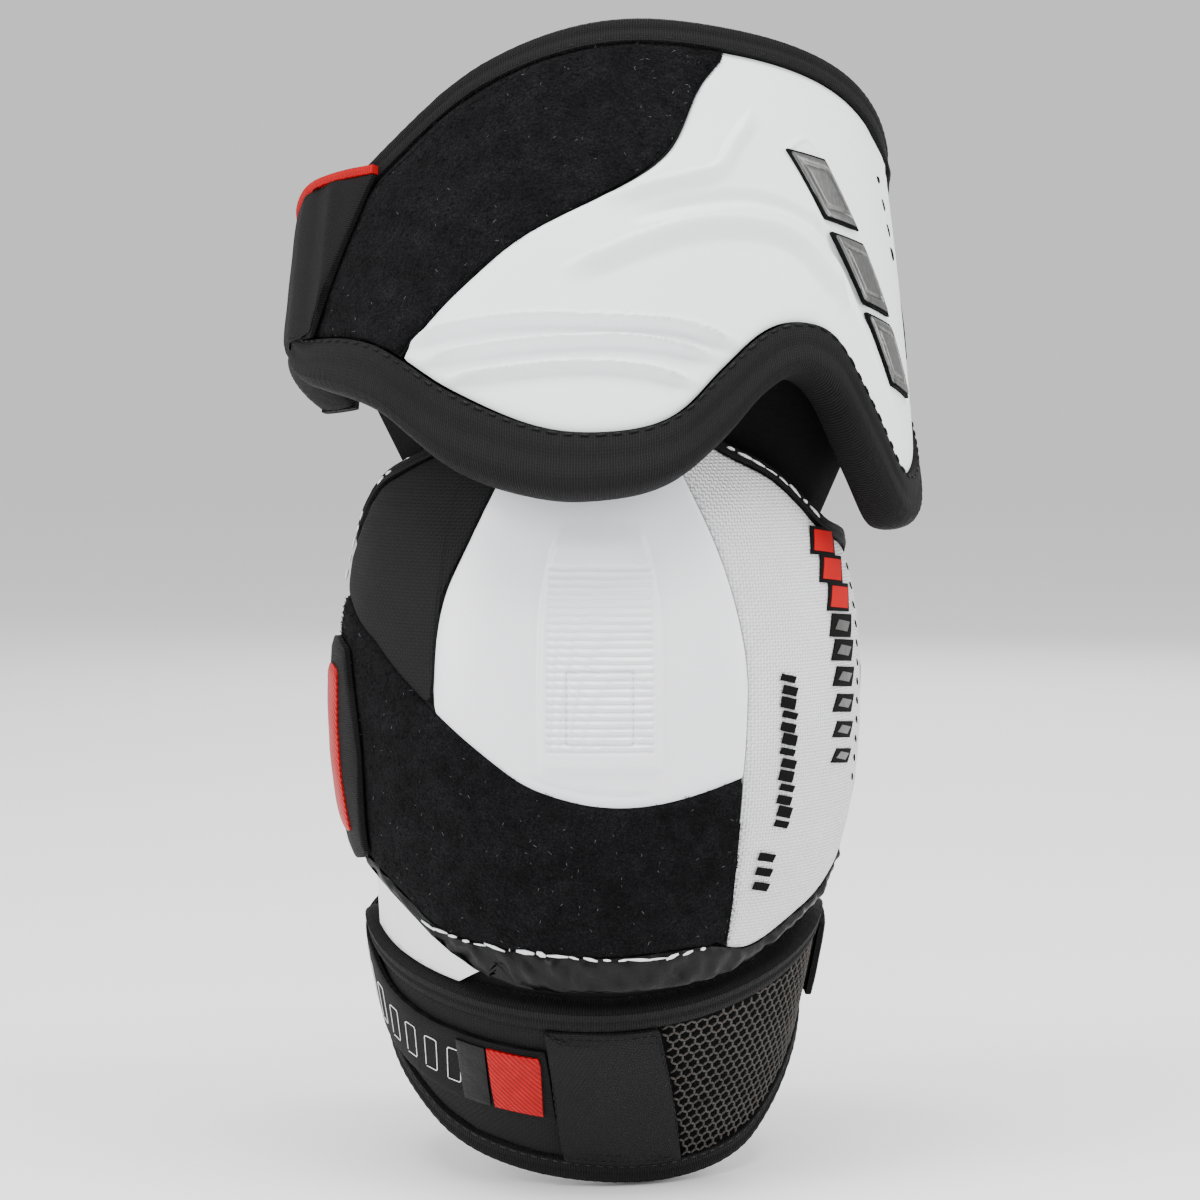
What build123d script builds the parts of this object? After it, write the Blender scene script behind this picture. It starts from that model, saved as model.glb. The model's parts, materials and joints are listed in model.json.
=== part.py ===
from build123d import *
import math
import os

os.makedirs("parts", exist_ok=True)

# A right-arm hockey elbow pad in three sections that wrap the arm: a bicep guard,
# an elbow section with a hard cap, and a forearm cuff. Millimetres and degrees.
# The origin is on the arm's axis at the elbow, +Z runs up towards the shoulder,
# -Y is the outer side of the elbow and +X is to the right seen from there.
# A place on a section's wall is (angle around from the front, height along the section),
# and depth is counted inwards from the section's outer face.

# Each section is an oval tube: (height, half width, half depth) at stations up its length.
GUARD_STATIONS = [(30, 93, 73), (60, 92, 73), (100, 90, 72), (140, 87, 70), (190, 82, 66)]
GUARD_LEAN = -18
GUARD_SHIFT = (0, -18)
ELBOW_STATIONS = [
    (-90, 50, 50), (-60, 65, 58), (-30, 73, 64), (0, 75, 66),
    (30, 73, 62), (60, 64, 52), (82, 46, 38), (96, 34, 28),
]
ELBOW_LEAN = 0
ELBOW_SHIFT = (0, 0)
CUFF_STATIONS = [(-150, 52, 46), (-120, 58, 50), (-90, 63, 54), (-60, 67, 57)]
CUFF_LEAN = 20
CUFF_SHIFT = (-2, -17)
# Behind the arm the straps draw each oval flatter.
BACK_SHARE = 0.8

# Layers of the walls, as depths from the outer face.
SKIN = (0, 1.7)
GUARD_FOAM = (2, 8.9)
GUARD_LINER = (9.1, 10.3)
GUARD_BINDING = (-0.6, 10.8)
HARD_CUP = (2, 4)
SIDE_FOAM = (2, 11)
CENTRE_FOAM = (4.3, 11)
ELBOW_LINER = (11.2, 12.4)
ELBOW_BINDING = (-0.6, 12.8)
CUFF_FOAM = (2, 6.7)
CUFF_STAY = (6.9, 8.1)
CUFF_LINER = (8.3, 9.3)
CUFF_BINDING = (-0.6, 9.7)
# Fabric between two sections, as (depth at its low edge, depth at its high edge) for each face.
UPPER_GUSSET = ((4.2, 11.4), (5.8, 13))
LOWER_GUSSET = ((4.2, 4.2), (5.8, 5.8))
WHITE_LINING = ((1.4, 1.4), (2.6, 2.6))
ANCHOR = (-2.4, -0.8)
HOOK_PAD = (-1.7, -0.9)
STRAP = (-3.6, -1.9)
STRAP_TRIM = (-4.1, -1.6)
TAB_BADGE = (-4.6, -3.8)
BAND = (-2.2, -0.3)
FIXED_STRAP = (-2.5, -0.9)
PATCH = (-3.5, -2.7)
EMBLEM = (-1.7, -0.1)

# Angles where the walls end, and the gaps between sewn neighbours.
WALL_END = 112
END_BINDING_WIDTH = 3
SEAM = 0.3
SEAM_ANGLE = 0.4

# Outlines of the bicep guard, as (angle, height).
GUARD_TOP = [
    (-115, 117), (-83, 120), (-64, 132), (-43, 149), (-23, 168), (0, 179),
    (25, 180), (56, 177), (83, 167), (115, 150),
]
GUARD_BOTTOM = [
    (-115, 92), (-84, 96), (-68, 85), (-44, 70), (-26, 49), (-10, 40), (3, 40), (13, 45),
    (22, 57), (30, 71), (38, 78.5), (46, 74), (56, 56), (67, 43), (80, 52), (96, 76), (115, 95),
]
GUARD_TOP_BAND = 8
# The bottom band is widest at the front lobe: (angle, width).
GUARD_BOTTOM_BAND = [
    (-115, 10), (-75, 13), (-47, 18), (-32, 22), (-15, 19), (0, 17), (12, 17), (22, 20),
    (33, 16.5), (40, 14.5), (48, 18), (60, 19), (72, 15), (90, 12), (115, 10),
]
# The swept seam between the loop panel and the moulded shell, as (height, angle).
GUARD_SEAM = [(84, -37), (93, -31), (106, -21), (117, -11), (125, 0), (138, 12), (154, 17), (172, 24)]
EMBLEM_BARS = [(84, 69), (105, 60), (127, 50)]
EMBLEM_BAR_WIDTH = 9
EMBLEM_BAR_HEIGHT = 17
EMBLEM_BAR_SLANT = -8

# Outlines of the elbow section.
ELBOW_TOP = [
    (-115, 40), (-90, 50), (-78, 64), (-64, 70), (-45, 78), (-25, 87), (0, 91), (20, 88),
    (37, 75), (50, 68), (60, 58), (68, 52), (90, 47), (115, 38),
]
ELBOW_BOTTOM = [
    (-115, -20), (-100, -32), (-83, -44), (-59, -57), (-47, -67), (-29, -77), (0, -79),
    (29, -77), (43, -73), (59, -65), (83, -54), (100, -36), (115, -20),
]
ELBOW_TOP_BAND = 5
ELBOW_BOTTOM_BAND = [(-115, 4), (-59, 4), (-47, 4.5), (-33, 9.5), (0, 10), (30, 10), (37, 5), (115, 4)]
# Lower edge of the cap and of the woven panel beside it: the loop band lies below it.
LOOP_TOP = [
    (-115, 22), (-85, 28), (-61, 18), (-48, 8), (-38, -1), (-26, -12), (-15, -21),
    (0, -26), (15, -25), (40, -16),
]
CAP_LEFT = [(-2, -37.5), (6, -38), (31, -36), (47, -31), (61, -27), (88, -20)]
# The seam on the right of the cap and of the loop band: the side panel lies beyond it.
RIGHT_SEAM = [(-72, 35), (-44, 32.5), (-22, 32), (7, 33), (26, 31), (42, 28), (64, 22), (88, 17)]
CUP_SPAN = (-32, 30)
CUP_HEIGHTS = (-18, 68)
CENTRE_FOAM_SPAN = (-36, 34)
DONUT_OUTER = (22, 29)
DONUT_INNER = (11, 17)
DONUT_FRONT = -48.3
DONUT_THICKNESS = 4

# Outlines of the forearm cuff.
CUFF_TOP = [
    (-115, -82), (-100, -73), (-83, -67), (-60, -68), (0, -70), (26, -69), (45, -67),
    (64, -65), (83, -64), (100, -70), (115, -80),
]
CUFF_BOTTOM = [
    (-115, -104), (-83, -111), (-60, -120), (-48, -126), (-33, -130), (0, -134), (26, -136),
    (51, -134), (66, -125), (81, -114), (115, -104),
]
CUFF_TOP_BAND = 8
CUFF_BOTTOM_BAND = 8
BAND_LEFT = [(-128, -8), (-76, -12)]
BAND_RIGHT = [(-128, 26), (-76, 16)]
STAYS = [(-74, -44), (48, 78)]
CUFF_STRAP_TOP = [(84, -72), (180, -72), (244, -73), (278, -74), (300, -82), (345, -85)]
CUFF_STRAP_BOTTOM = [(84, -98), (180, -100), (244, -102), (278, -103), (312, -108), (350, -110)]
RED_PATCH = (-27, -13)
VINYL_PATCH = (-36, -27.6)
PATCH_INSET = 2

# Straps: each runs round the back from a sewn anchor to a tab that grips a loop panel.
HINGE_AROUND = 150
CUFF_HINGE_AROUND = 244
HINGE_GAP = 1.2
ANCHOR_START = 96
GUARD_STRAP_TOP = [(96, 140), (150, 142), (250, 142), (286, 144), (315, 139)]
GUARD_STRAP_BOTTOM = [(96, 104), (150, 104), (250, 104), (277, 103), (300, 96), (315, 96)]
GUARD_TAB_END = [(96, 298), (139, 315)]
GUARD_HOOK = [281, 296]
RED_EDGE = 3
RED_EDGE_START = 270
ELBOW_STRAP_TOP = [(96, 8), (150, 8), (255, 8), (280, 17), (297, 12)]
ELBOW_STRAP_BOTTOM = [(96, -34), (150, -34), (255, -36), (283, -47), (299, -42)]
ELBOW_TAB_END = [(-47, 293), (-15, 298), (17, 291)]
ELBOW_HOOK = [266, 289]
BADGE_SPAN = (272, 288)
BADGE_INSET = 8
CUFF_TAB_END = 85
CUFF_HOOK = (88, 108)
HOOK_INSET = 5

# Fabric that joins the sections: angles around, and where it is sewn inside the guard.
GUSSET_SPAN = (-78, 78)
UPPER_GUSSET_TOP = [(-78, 106), (-40, 99), (0, 98), (40, 98), (78, 84)]
LINING_SPAN = (-74, -36)

WIDE_COLUMNS = 73
NARROW_COLUMNS = 17
ROWS = 13
SETTLE_STEPS = 40
SPLINE_TOLERANCE = 0.05
SHELL_FADE = 2


def value(curve, x):
    """Height or angle at x on a smooth curve through its points, or a plain number as it is."""
    if isinstance(curve, (int, float)):
        return curve
    if x <= curve[0][0]:
        return curve[0][1]
    if x >= curve[-1][0]:
        return curve[-1][1]
    last = len(curve) - 1
    k = max(i for i in range(last) if curve[i][0] <= x)
    (x0, y0), (x1, y1) = curve[k], curve[k + 1]
    before = curve[max(k - 1, 0)]
    after = curve[min(k + 2, last)]
    slope0 = (y1 - before[1]) / (x1 - before[0])
    slope1 = (after[1] - y0) / (after[0] - x0)
    span = x1 - x0
    t = (x - x0) / span
    bulge = (slope0 * span - (y1 - y0)) * (1 - t) + ((y1 - y0) - slope1 * span) * t
    return y0 + (y1 - y0) * t + t * (1 - t) * bulge


def between(low, high, share):
    return low + (high - low) * share


def raised(curve, amount):
    """The same outline, moved up by a height."""
    return [(x, y + amount) for x, y in curve]


def widened(curve, width):
    """An outline moved up by a width that itself changes around the wall."""
    return [(x, y + value(width, x)) for x, y in curve]


def turned(curve, amount):
    """A side edge, as (height, angle), moved around the wall."""
    return [(x, y + amount) for x, y in curve]


class Section:
    """An oval tube around the arm, leaned about the X axis and then moved."""

    def __init__(self, stations, lean, shift):
        self.half_width = [(height, width) for height, width, depth in stations]
        self.half_depth = [(height, depth) for height, width, depth in stations]
        self.lean = math.radians(lean)
        self.shift = shift

    def point(self, around, height, depth):
        angle = math.radians(around)
        half_depth = value(self.half_depth, height)
        if math.cos(angle) < 0:
            half_depth *= BACK_SHARE
        x = (value(self.half_width, height) - depth) * math.sin(angle)
        y = (depth - half_depth) * math.cos(angle)
        leaned_y = y * math.cos(self.lean) - height * math.sin(self.lean)
        leaned_z = y * math.sin(self.lean) + height * math.cos(self.lean)
        return Vector(x + self.shift[0], leaned_y + self.shift[1], leaned_z)


guard = Section(GUARD_STATIONS, GUARD_LEAN, GUARD_SHIFT)
elbow = Section(ELBOW_STATIONS, ELBOW_LEAN, ELBOW_SHIFT)
cuff = Section(CUFF_STATIONS, CUFF_LEAN, CUFF_SHIFT)


def side_angle(edge, lower, upper, share):
    """Angle where a side edge crosses the line that runs a share of the way up a panel."""
    if isinstance(edge, (int, float)):
        return edge
    height = between(edge[0][0], edge[-1][0], share)
    for _ in range(SETTLE_STEPS):
        around = value(edge, height)
        line = between(value(lower, around), value(upper, around), share)
        height = (height + line) / 2
    return value(edge, height)


def closed_solid(outer_grid, inner_grid):
    """One solid between two grids of points, with ruled sides."""
    outer = Face.make_surface_from_array_of_points(outer_grid, tol=SPLINE_TOLERANCE)
    inner = Face.make_surface_from_array_of_points(inner_grid, tol=SPLINE_TOLERANCE)
    pairs = zip(outer.edges(), inner.edges())
    sides = [Face.make_surface_from_curves(edge, facing) for edge, facing in pairs]
    return Solid(Shell([outer, inner, *sides]))


def panel(section, left, right, lower, upper, depths, columns=WIDE_COLUMNS, fade=1):
    """A layer of a section's wall between four edges and two depths.

    A fade over 1 keeps the sway of a curved side edge near that edge.
    """
    foot_start = side_angle(left, lower, upper, 0)
    foot_end = side_angle(right, lower, upper, 0)
    places = []
    for i in range(columns):
        column = []
        across = i / (columns - 1)
        for j in range(ROWS):
            share = j / (ROWS - 1)
            start_sway = side_angle(left, lower, upper, share) - foot_start
            end_sway = side_angle(right, lower, upper, share) - foot_end
            around = between(foot_start, foot_end, across)
            around += start_sway * (1 - across) ** fade + end_sway * across ** fade
            height = between(value(lower, around), value(upper, around), share)
            column.append((around, height))
        places.append(column)
    grids = [[[section.point(a, h, depth) for a, h in column] for column in places] for depth in depths]
    return closed_solid(*grids)


def bridge(low_section, low_edge, high_section, high_edge, span, faces):
    """A strip of fabric from an edge of one section straight to an edge of the next."""
    grids = []
    for low_depth, high_depth in faces:
        grid = []
        for i in range(WIDE_COLUMNS):
            around = between(*span, i / (WIDE_COLUMNS - 1))
            low = low_section.point(around, value(low_edge, around), low_depth)
            high = high_section.point(around, value(high_edge, around), high_depth)
            grid.append([low + (high - low) * (j / (ROWS - 1)) for j in range(ROWS)])
        grids.append(grid)
    return closed_solid(*grids)


def end_bindings(section, lower, upper, depths):
    """The folded bindings that close both upright ends of a wall."""
    outer_end = WALL_END + END_BINDING_WIDTH
    inner_end = WALL_END + SEAM_ANGLE
    left = panel(section, -outer_end, -inner_end, lower, upper, depths, NARROW_COLUMNS)
    right = panel(section, inner_end, outer_end, lower, upper, depths, NARROW_COLUMNS)
    return Compound([left, right])


def write(name, shape):
    export_step(shape, f"parts/{name}.step")


def build_guard():
    lower = raised(widened(GUARD_BOTTOM, GUARD_BOTTOM_BAND), SEAM)
    upper = raised(GUARD_TOP, -GUARD_TOP_BAND - SEAM)
    wall = (-WALL_END, WALL_END, lower, upper)
    shell_left = turned(GUARD_SEAM, SEAM_ANGLE)
    write("guard_moulded_shell", panel(guard, shell_left, WALL_END, lower, upper, SKIN, fade=SHELL_FADE))
    write("guard_loop_panel", panel(guard, -WALL_END, GUARD_SEAM, lower, upper, SKIN))
    write("guard_foam", panel(guard, *wall, GUARD_FOAM))
    write("guard_liner", panel(guard, *wall, GUARD_LINER))
    band_top = widened(GUARD_BOTTOM, GUARD_BOTTOM_BAND)
    write("guard_bottom_binding",
          panel(guard, -WALL_END, WALL_END, GUARD_BOTTOM, band_top, GUARD_BINDING))
    band_bottom = raised(GUARD_TOP, -GUARD_TOP_BAND)
    write("guard_top_binding", panel(guard, -WALL_END, WALL_END, band_bottom, GUARD_TOP, GUARD_BINDING))
    write("guard_end_bindings", end_bindings(guard, GUARD_BOTTOM, GUARD_TOP, GUARD_BINDING))
    write("guard_emblem_bars", Compound([emblem_bar(*bar) for bar in EMBLEM_BARS]))


def emblem_bar(height, around):
    """One slanted metal-look bar on the moulded shell."""
    top = height + EMBLEM_BAR_HEIGHT
    left = [(height, around - EMBLEM_BAR_WIDTH / 2), (top, around - EMBLEM_BAR_WIDTH / 2 + EMBLEM_BAR_SLANT)]
    right = turned(left, EMBLEM_BAR_WIDTH)
    return panel(guard, left, right, height, top, EMBLEM, NARROW_COLUMNS)


def build_elbow():
    lower = raised(widened(ELBOW_BOTTOM, ELBOW_BOTTOM_BAND), SEAM)
    upper = raised(ELBOW_TOP, -ELBOW_TOP_BAND - SEAM)
    above_loop = raised(LOOP_TOP, SEAM)
    write("elbow_cap", panel(elbow, CAP_LEFT, RIGHT_SEAM, above_loop, upper, SKIN))
    woven_right = turned(CAP_LEFT, -SEAM_ANGLE)
    write("elbow_woven_panel", panel(elbow, -WALL_END, woven_right, above_loop, upper, SKIN))
    write("elbow_loop_band", panel(elbow, -WALL_END, RIGHT_SEAM, lower, LOOP_TOP, SKIN))
    side_left = turned(RIGHT_SEAM, SEAM_ANGLE)
    write("elbow_side_panel", panel(elbow, side_left, WALL_END, lower, upper, SKIN))
    write("elbow_hard_cup", panel(elbow, *CUP_SPAN, *CUP_HEIGHTS, HARD_CUP))
    middle_left, middle_right = CENTRE_FOAM_SPAN
    write("elbow_centre_foam", panel(elbow, middle_left, middle_right, lower, upper, CENTRE_FOAM))
    left_end = middle_left - SEAM_ANGLE
    right_start = middle_right + SEAM_ANGLE
    write("elbow_left_foam", panel(elbow, -WALL_END, left_end, lower, upper, SIDE_FOAM))
    write("elbow_right_foam", panel(elbow, right_start, WALL_END, lower, upper, SIDE_FOAM))
    write("elbow_liner", panel(elbow, -WALL_END, WALL_END, lower, upper, ELBOW_LINER))
    strip_top = widened(ELBOW_BOTTOM, ELBOW_BOTTOM_BAND)
    write("elbow_edge_strip",
          panel(elbow, -WALL_END, WALL_END, ELBOW_BOTTOM, strip_top, ELBOW_BINDING))
    band_bottom = raised(ELBOW_TOP, -ELBOW_TOP_BAND)
    write("elbow_top_binding", panel(elbow, -WALL_END, WALL_END, band_bottom, ELBOW_TOP, ELBOW_BINDING))
    write("elbow_end_bindings", end_bindings(elbow, ELBOW_BOTTOM, ELBOW_TOP, ELBOW_BINDING))
    write("elbow_donut_pad", donut_pad())


def donut_pad():
    """A soft oval ring that keeps the tip of the elbow off the hard cup."""
    ring = Ellipse(*DONUT_OUTER) - Ellipse(*DONUT_INNER)
    facing_front = Plane(origin=(0, DONUT_FRONT + DONUT_THICKNESS, 0), x_dir=(1, 0, 0), z_dir=(0, -1, 0))
    return extrude(facing_front * ring, amount=DONUT_THICKNESS)


def build_cuff():
    lower = raised(CUFF_BOTTOM, CUFF_BOTTOM_BAND + SEAM)
    upper = raised(CUFF_TOP, -CUFF_TOP_BAND - SEAM)
    wall = (-WALL_END, WALL_END, lower, upper)
    mesh_left = turned(BAND_RIGHT, SEAM_ANGLE)
    write("cuff_left_panel", panel(cuff, -WALL_END, BAND_RIGHT, lower, upper, SKIN))
    write("cuff_mesh_panel", panel(cuff, mesh_left, WALL_END, lower, upper, SKIN))
    write("cuff_foam", panel(cuff, *wall, CUFF_FOAM))
    write("cuff_liner", panel(cuff, *wall, CUFF_LINER))
    write("cuff_stays", Compound([cuff_stay(span, lower, upper) for span in STAYS]))
    write("cuff_elastic_band", panel(cuff, BAND_LEFT, BAND_RIGHT, lower, upper, BAND))
    band_top = raised(CUFF_BOTTOM, CUFF_BOTTOM_BAND)
    write("cuff_bottom_binding", panel(cuff, -WALL_END, WALL_END, CUFF_BOTTOM, band_top, CUFF_BINDING))
    band_bottom = raised(CUFF_TOP, -CUFF_TOP_BAND)
    write("cuff_top_binding", panel(cuff, -WALL_END, WALL_END, band_bottom, CUFF_TOP, CUFF_BINDING))
    write("cuff_end_bindings", end_bindings(cuff, CUFF_BOTTOM, CUFF_TOP, CUFF_BINDING))


def cuff_stay(span, lower, upper):
    """A thin plastic plate against cuts, between the cuff's foam and its liner."""
    low = raised(lower, PATCH_INSET)
    high = raised(upper, -PATCH_INSET)
    return panel(cuff, *span, low, high, CUFF_STAY, NARROW_COLUMNS)


def build_guard_strap():
    bottom = GUARD_STRAP_BOTTOM
    top = GUARD_STRAP_TOP
    anchor_end = HINGE_AROUND - HINGE_GAP
    write("guard_strap_anchor",
          panel(guard, ANCHOR_START, anchor_end, bottom, top, ANCHOR, NARROW_COLUMNS))
    write("guard_strap", panel(guard, HINGE_AROUND, GUARD_TAB_END, bottom, top, STRAP))
    low = raised(bottom, HOOK_INSET)
    high = raised(top, -HOOK_INSET)
    write("guard_strap_hook", panel(guard, *GUARD_HOOK, low, high, HOOK_PAD, NARROW_COLUMNS))
    edge_low = raised(top, SEAM)
    edge_high = raised(top, RED_EDGE)
    edge_end = GUARD_TAB_END[-1][1]
    write("guard_strap_red_edge",
          panel(guard, RED_EDGE_START, edge_end, edge_low, edge_high, STRAP_TRIM, NARROW_COLUMNS))


def build_elbow_strap():
    bottom = ELBOW_STRAP_BOTTOM
    top = ELBOW_STRAP_TOP
    anchor_end = HINGE_AROUND - HINGE_GAP
    write("elbow_strap_anchor",
          panel(elbow, ANCHOR_START, anchor_end, bottom, top, ANCHOR, NARROW_COLUMNS))
    write("elbow_strap", panel(elbow, HINGE_AROUND, ELBOW_TAB_END, bottom, top, STRAP))
    low = raised(bottom, HOOK_INSET)
    high = raised(top, -HOOK_INSET)
    write("elbow_strap_hook", panel(elbow, *ELBOW_HOOK, low, high, HOOK_PAD, NARROW_COLUMNS))
    badge_low = raised(bottom, BADGE_INSET)
    badge_high = raised(top, -BADGE_INSET)
    write("elbow_strap_badge",
          panel(elbow, *BADGE_SPAN, badge_low, badge_high, TAB_BADGE, NARROW_COLUMNS))


def build_cuff_strap():
    bottom = CUFF_STRAP_BOTTOM
    top = CUFF_STRAP_TOP
    full_turn = 360
    sewn_edge = turned(BAND_LEFT, full_turn - SEAM_ANGLE)
    fixed_start = CUFF_HINGE_AROUND + HINGE_GAP
    write("cuff_fixed_strap", panel(cuff, fixed_start, sewn_edge, bottom, top, FIXED_STRAP))
    low = raised(bottom, PATCH_INSET)
    high = raised(top, -PATCH_INSET)
    red_left, red_right = [around + full_turn for around in RED_PATCH]
    vinyl_left, vinyl_right = [around + full_turn for around in VINYL_PATCH]
    write("cuff_red_patch", panel(cuff, red_left, red_right, low, high, PATCH, NARROW_COLUMNS))
    write("cuff_vinyl_patch", panel(cuff, vinyl_left, vinyl_right, low, high, PATCH, NARROW_COLUMNS))
    write("cuff_strap", panel(cuff, CUFF_TAB_END, CUFF_HINGE_AROUND, bottom, top, STRAP))
    hook_low = raised(bottom, HOOK_INSET)
    hook_high = raised(top, -HOOK_INSET)
    write("cuff_strap_hook", panel(cuff, *CUFF_HOOK, hook_low, hook_high, HOOK_PAD, NARROW_COLUMNS))


def build_gussets():
    elbow_rim = raised(ELBOW_TOP, 2 * SEAM)
    write("upper_gusset", bridge(elbow, elbow_rim, guard, UPPER_GUSSET_TOP, GUSSET_SPAN, UPPER_GUSSET))
    cuff_rim = raised(CUFF_TOP, 2 * SEAM)
    elbow_edge = raised(ELBOW_BOTTOM, -2 * SEAM)
    write("lower_gusset", bridge(cuff, cuff_rim, elbow, elbow_edge, GUSSET_SPAN, LOWER_GUSSET))
    write("white_lining", bridge(cuff, cuff_rim, elbow, elbow_edge, LINING_SPAN, WHITE_LINING))


build_guard()
build_elbow()
build_cuff()
build_guard_strap()
build_elbow_strap()
build_cuff_strap()
build_gussets()
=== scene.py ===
import json
import math

import bmesh
import bpy
import numpy as np
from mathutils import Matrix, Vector


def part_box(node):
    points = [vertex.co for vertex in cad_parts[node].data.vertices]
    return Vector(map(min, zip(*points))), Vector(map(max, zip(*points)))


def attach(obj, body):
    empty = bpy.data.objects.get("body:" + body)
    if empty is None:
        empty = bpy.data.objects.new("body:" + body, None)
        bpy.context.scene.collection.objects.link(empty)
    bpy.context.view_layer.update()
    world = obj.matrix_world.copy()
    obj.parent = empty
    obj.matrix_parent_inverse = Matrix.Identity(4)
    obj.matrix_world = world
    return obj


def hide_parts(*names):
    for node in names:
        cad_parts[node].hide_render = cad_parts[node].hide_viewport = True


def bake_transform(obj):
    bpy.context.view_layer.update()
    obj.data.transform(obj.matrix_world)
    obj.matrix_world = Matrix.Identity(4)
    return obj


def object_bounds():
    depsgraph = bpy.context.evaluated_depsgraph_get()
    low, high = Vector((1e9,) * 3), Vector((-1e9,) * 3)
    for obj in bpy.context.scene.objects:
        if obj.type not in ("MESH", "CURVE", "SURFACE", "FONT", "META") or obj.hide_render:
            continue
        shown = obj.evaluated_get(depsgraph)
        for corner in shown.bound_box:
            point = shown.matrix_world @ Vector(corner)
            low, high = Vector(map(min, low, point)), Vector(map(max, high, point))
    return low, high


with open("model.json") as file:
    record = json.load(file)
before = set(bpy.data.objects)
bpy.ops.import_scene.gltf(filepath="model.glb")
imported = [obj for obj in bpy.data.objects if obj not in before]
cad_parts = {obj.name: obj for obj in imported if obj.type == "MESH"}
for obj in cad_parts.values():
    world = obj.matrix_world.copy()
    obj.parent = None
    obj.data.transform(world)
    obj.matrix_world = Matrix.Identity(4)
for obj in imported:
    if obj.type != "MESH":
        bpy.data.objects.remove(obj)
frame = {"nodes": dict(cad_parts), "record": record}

for unwanted in ("Cube", "Light", "Camera"):
    if unwanted in bpy.data.objects:
        bpy.data.objects.remove(bpy.data.objects[unwanted])

cad_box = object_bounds()

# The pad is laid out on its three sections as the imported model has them. A place on a
# wall is (angle around from the front in degrees, height along the section in mm), and
# depth is counted inwards from the outer face in mm. Everything made is in metres.
MM = 0.001
BACK_SHARE = 0.8
SEED = 7
rng = np.random.default_rng(SEED)

MOUNTS = {m["name"]: m for m in frame["record"]["mounts"]}


# ---------------------------------------------------------------- the sections

class Section:
    """One oval wall of the pad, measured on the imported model."""

    def __init__(self, mount, mount_height, direction, radius, nodes):
        axis = np.array(MOUNTS[mount]["axis"], float) * direction
        self.up = axis / np.linalg.norm(axis)
        self.side = np.array([1.0, 0.0, 0.0])
        self.back = np.cross(self.up, self.side)
        self.origin = np.array(MOUNTS[mount]["pos_m"], float) - self.up * mount_height * MM
        self.radius = radius
        self.measure(nodes)

    def local(self, points):
        """Row-frame metres to the section's own millimetres."""
        away = (np.asarray(points, float) - self.origin) / MM
        return np.stack([away @ self.side, away @ self.back, away @ self.up], -1)

    def row(self, x, y, h):
        """The section's own millimetres to row-frame metres."""
        p = np.stack(np.broadcast_arrays(x, y, h), -1).astype(float)
        across, away, up = p[..., :1], p[..., 1:2], p[..., 2:]
        return self.origin + (across * self.side + away * self.back + up * self.up) * MM

    def measure(self, nodes):
        """Half width and half depth of the oval at each height, from slices of the skins."""
        slices = {}
        for node in nodes:
            points, edges = mesh_arrays(frame["nodes"][node])
            p = self.local(points)
            a, b = p[edges[:, 0]], p[edges[:, 1]]
            for h in range(int(p[:, 2].min()) + 1, int(p[:, 2].max()), 4):
                low, high = np.minimum(a[:, 2], b[:, 2]), np.maximum(a[:, 2], b[:, 2])
                cut = (low <= h) & (high > h)
                t = (h - a[cut, 2]) / (b[cut, 2] - a[cut, 2])
                q = a[cut] + (b[cut] - a[cut]) * t[:, None]
                slices.setdefault(h, []).append(q[q[:, 1] < -2])
        heights, widths, depths = [], [], []
        for h in sorted(slices):
            q = np.concatenate(slices[h])
            if len(q) < 30 or np.abs(q[:, 0]).max() < 24:
                continue
            for _ in range(6):
                fit = np.linalg.lstsq(q[:, :2] ** 2, np.ones(len(q)), rcond=None)[0]
                level = (q[:, :2] ** 2) @ fit
                outer = level > np.quantile(level, 0.5) - 1e-9
                q = q[outer] if outer.sum() > 12 else q
            if (fit > 0).all():
                heights.append(h)
                widths.append(fit[0] ** -0.5)
                depths.append(fit[1] ** -0.5)
        self.heights = np.array(heights, float)
        self.widths = np.array(widths)
        self.depths = np.array(depths)

    def wall(self, around, h, depth):
        """Row-frame points at an angle, a height and a depth."""
        angle = np.radians(around)
        flat = np.where(np.cos(angle) < 0, BACK_SHARE, 1.0)
        x = (self.reach(self.widths, h) - depth) * np.sin(angle)
        y = (depth - self.reach(self.depths, h) * flat) * np.cos(angle)
        return self.row(x, y, h)

    def places(self, points, cut):
        """Angle, height and depth of row-frame points, with angles counted on from a cut."""
        p = self.local(points)
        x, y, h = p[:, 0], p[:, 1], p[:, 2]
        width = self.reach(self.widths, h)
        length = self.reach(self.depths, h) * np.where(y > 0, BACK_SHARE, 1.0)
        low, high = np.full(len(p), -12.0), np.full(len(p), 18.0)
        for _ in range(30):
            middle = (low + high) / 2
            outside = (x / (width - middle)) ** 2 + (y / (length - middle)) ** 2 > 1
            high = np.where(outside, middle, high)
            low = np.where(outside, low, middle)
        around = np.degrees(np.arctan2(x / (width - low), -y / (length - low)))
        return (around - cut) % 360 + cut, h, low

    def reach(self, table, h):
        """A half size at height h, carried on in a straight line past the measured stretch."""
        k = self.heights
        value = np.interp(h, k, table)
        low_slope = (table[2] - table[0]) / (k[2] - k[0])
        high_slope = (table[-1] - table[-3]) / (k[-1] - k[-3])
        return value + np.minimum(h - k[0], 0) * low_slope + np.maximum(h - k[-1], 0) * high_slope


def mesh_arrays(obj):
    """A node's points in metres and its edges, as arrays."""
    mesh = obj.data
    points = np.zeros(len(mesh.vertices) * 3)
    mesh.vertices.foreach_get("co", points)
    edges = np.zeros(len(mesh.edges) * 2, int)
    mesh.edges.foreach_get("vertices", edges)
    return points.reshape(-1, 3), edges.reshape(-1, 2)


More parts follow.
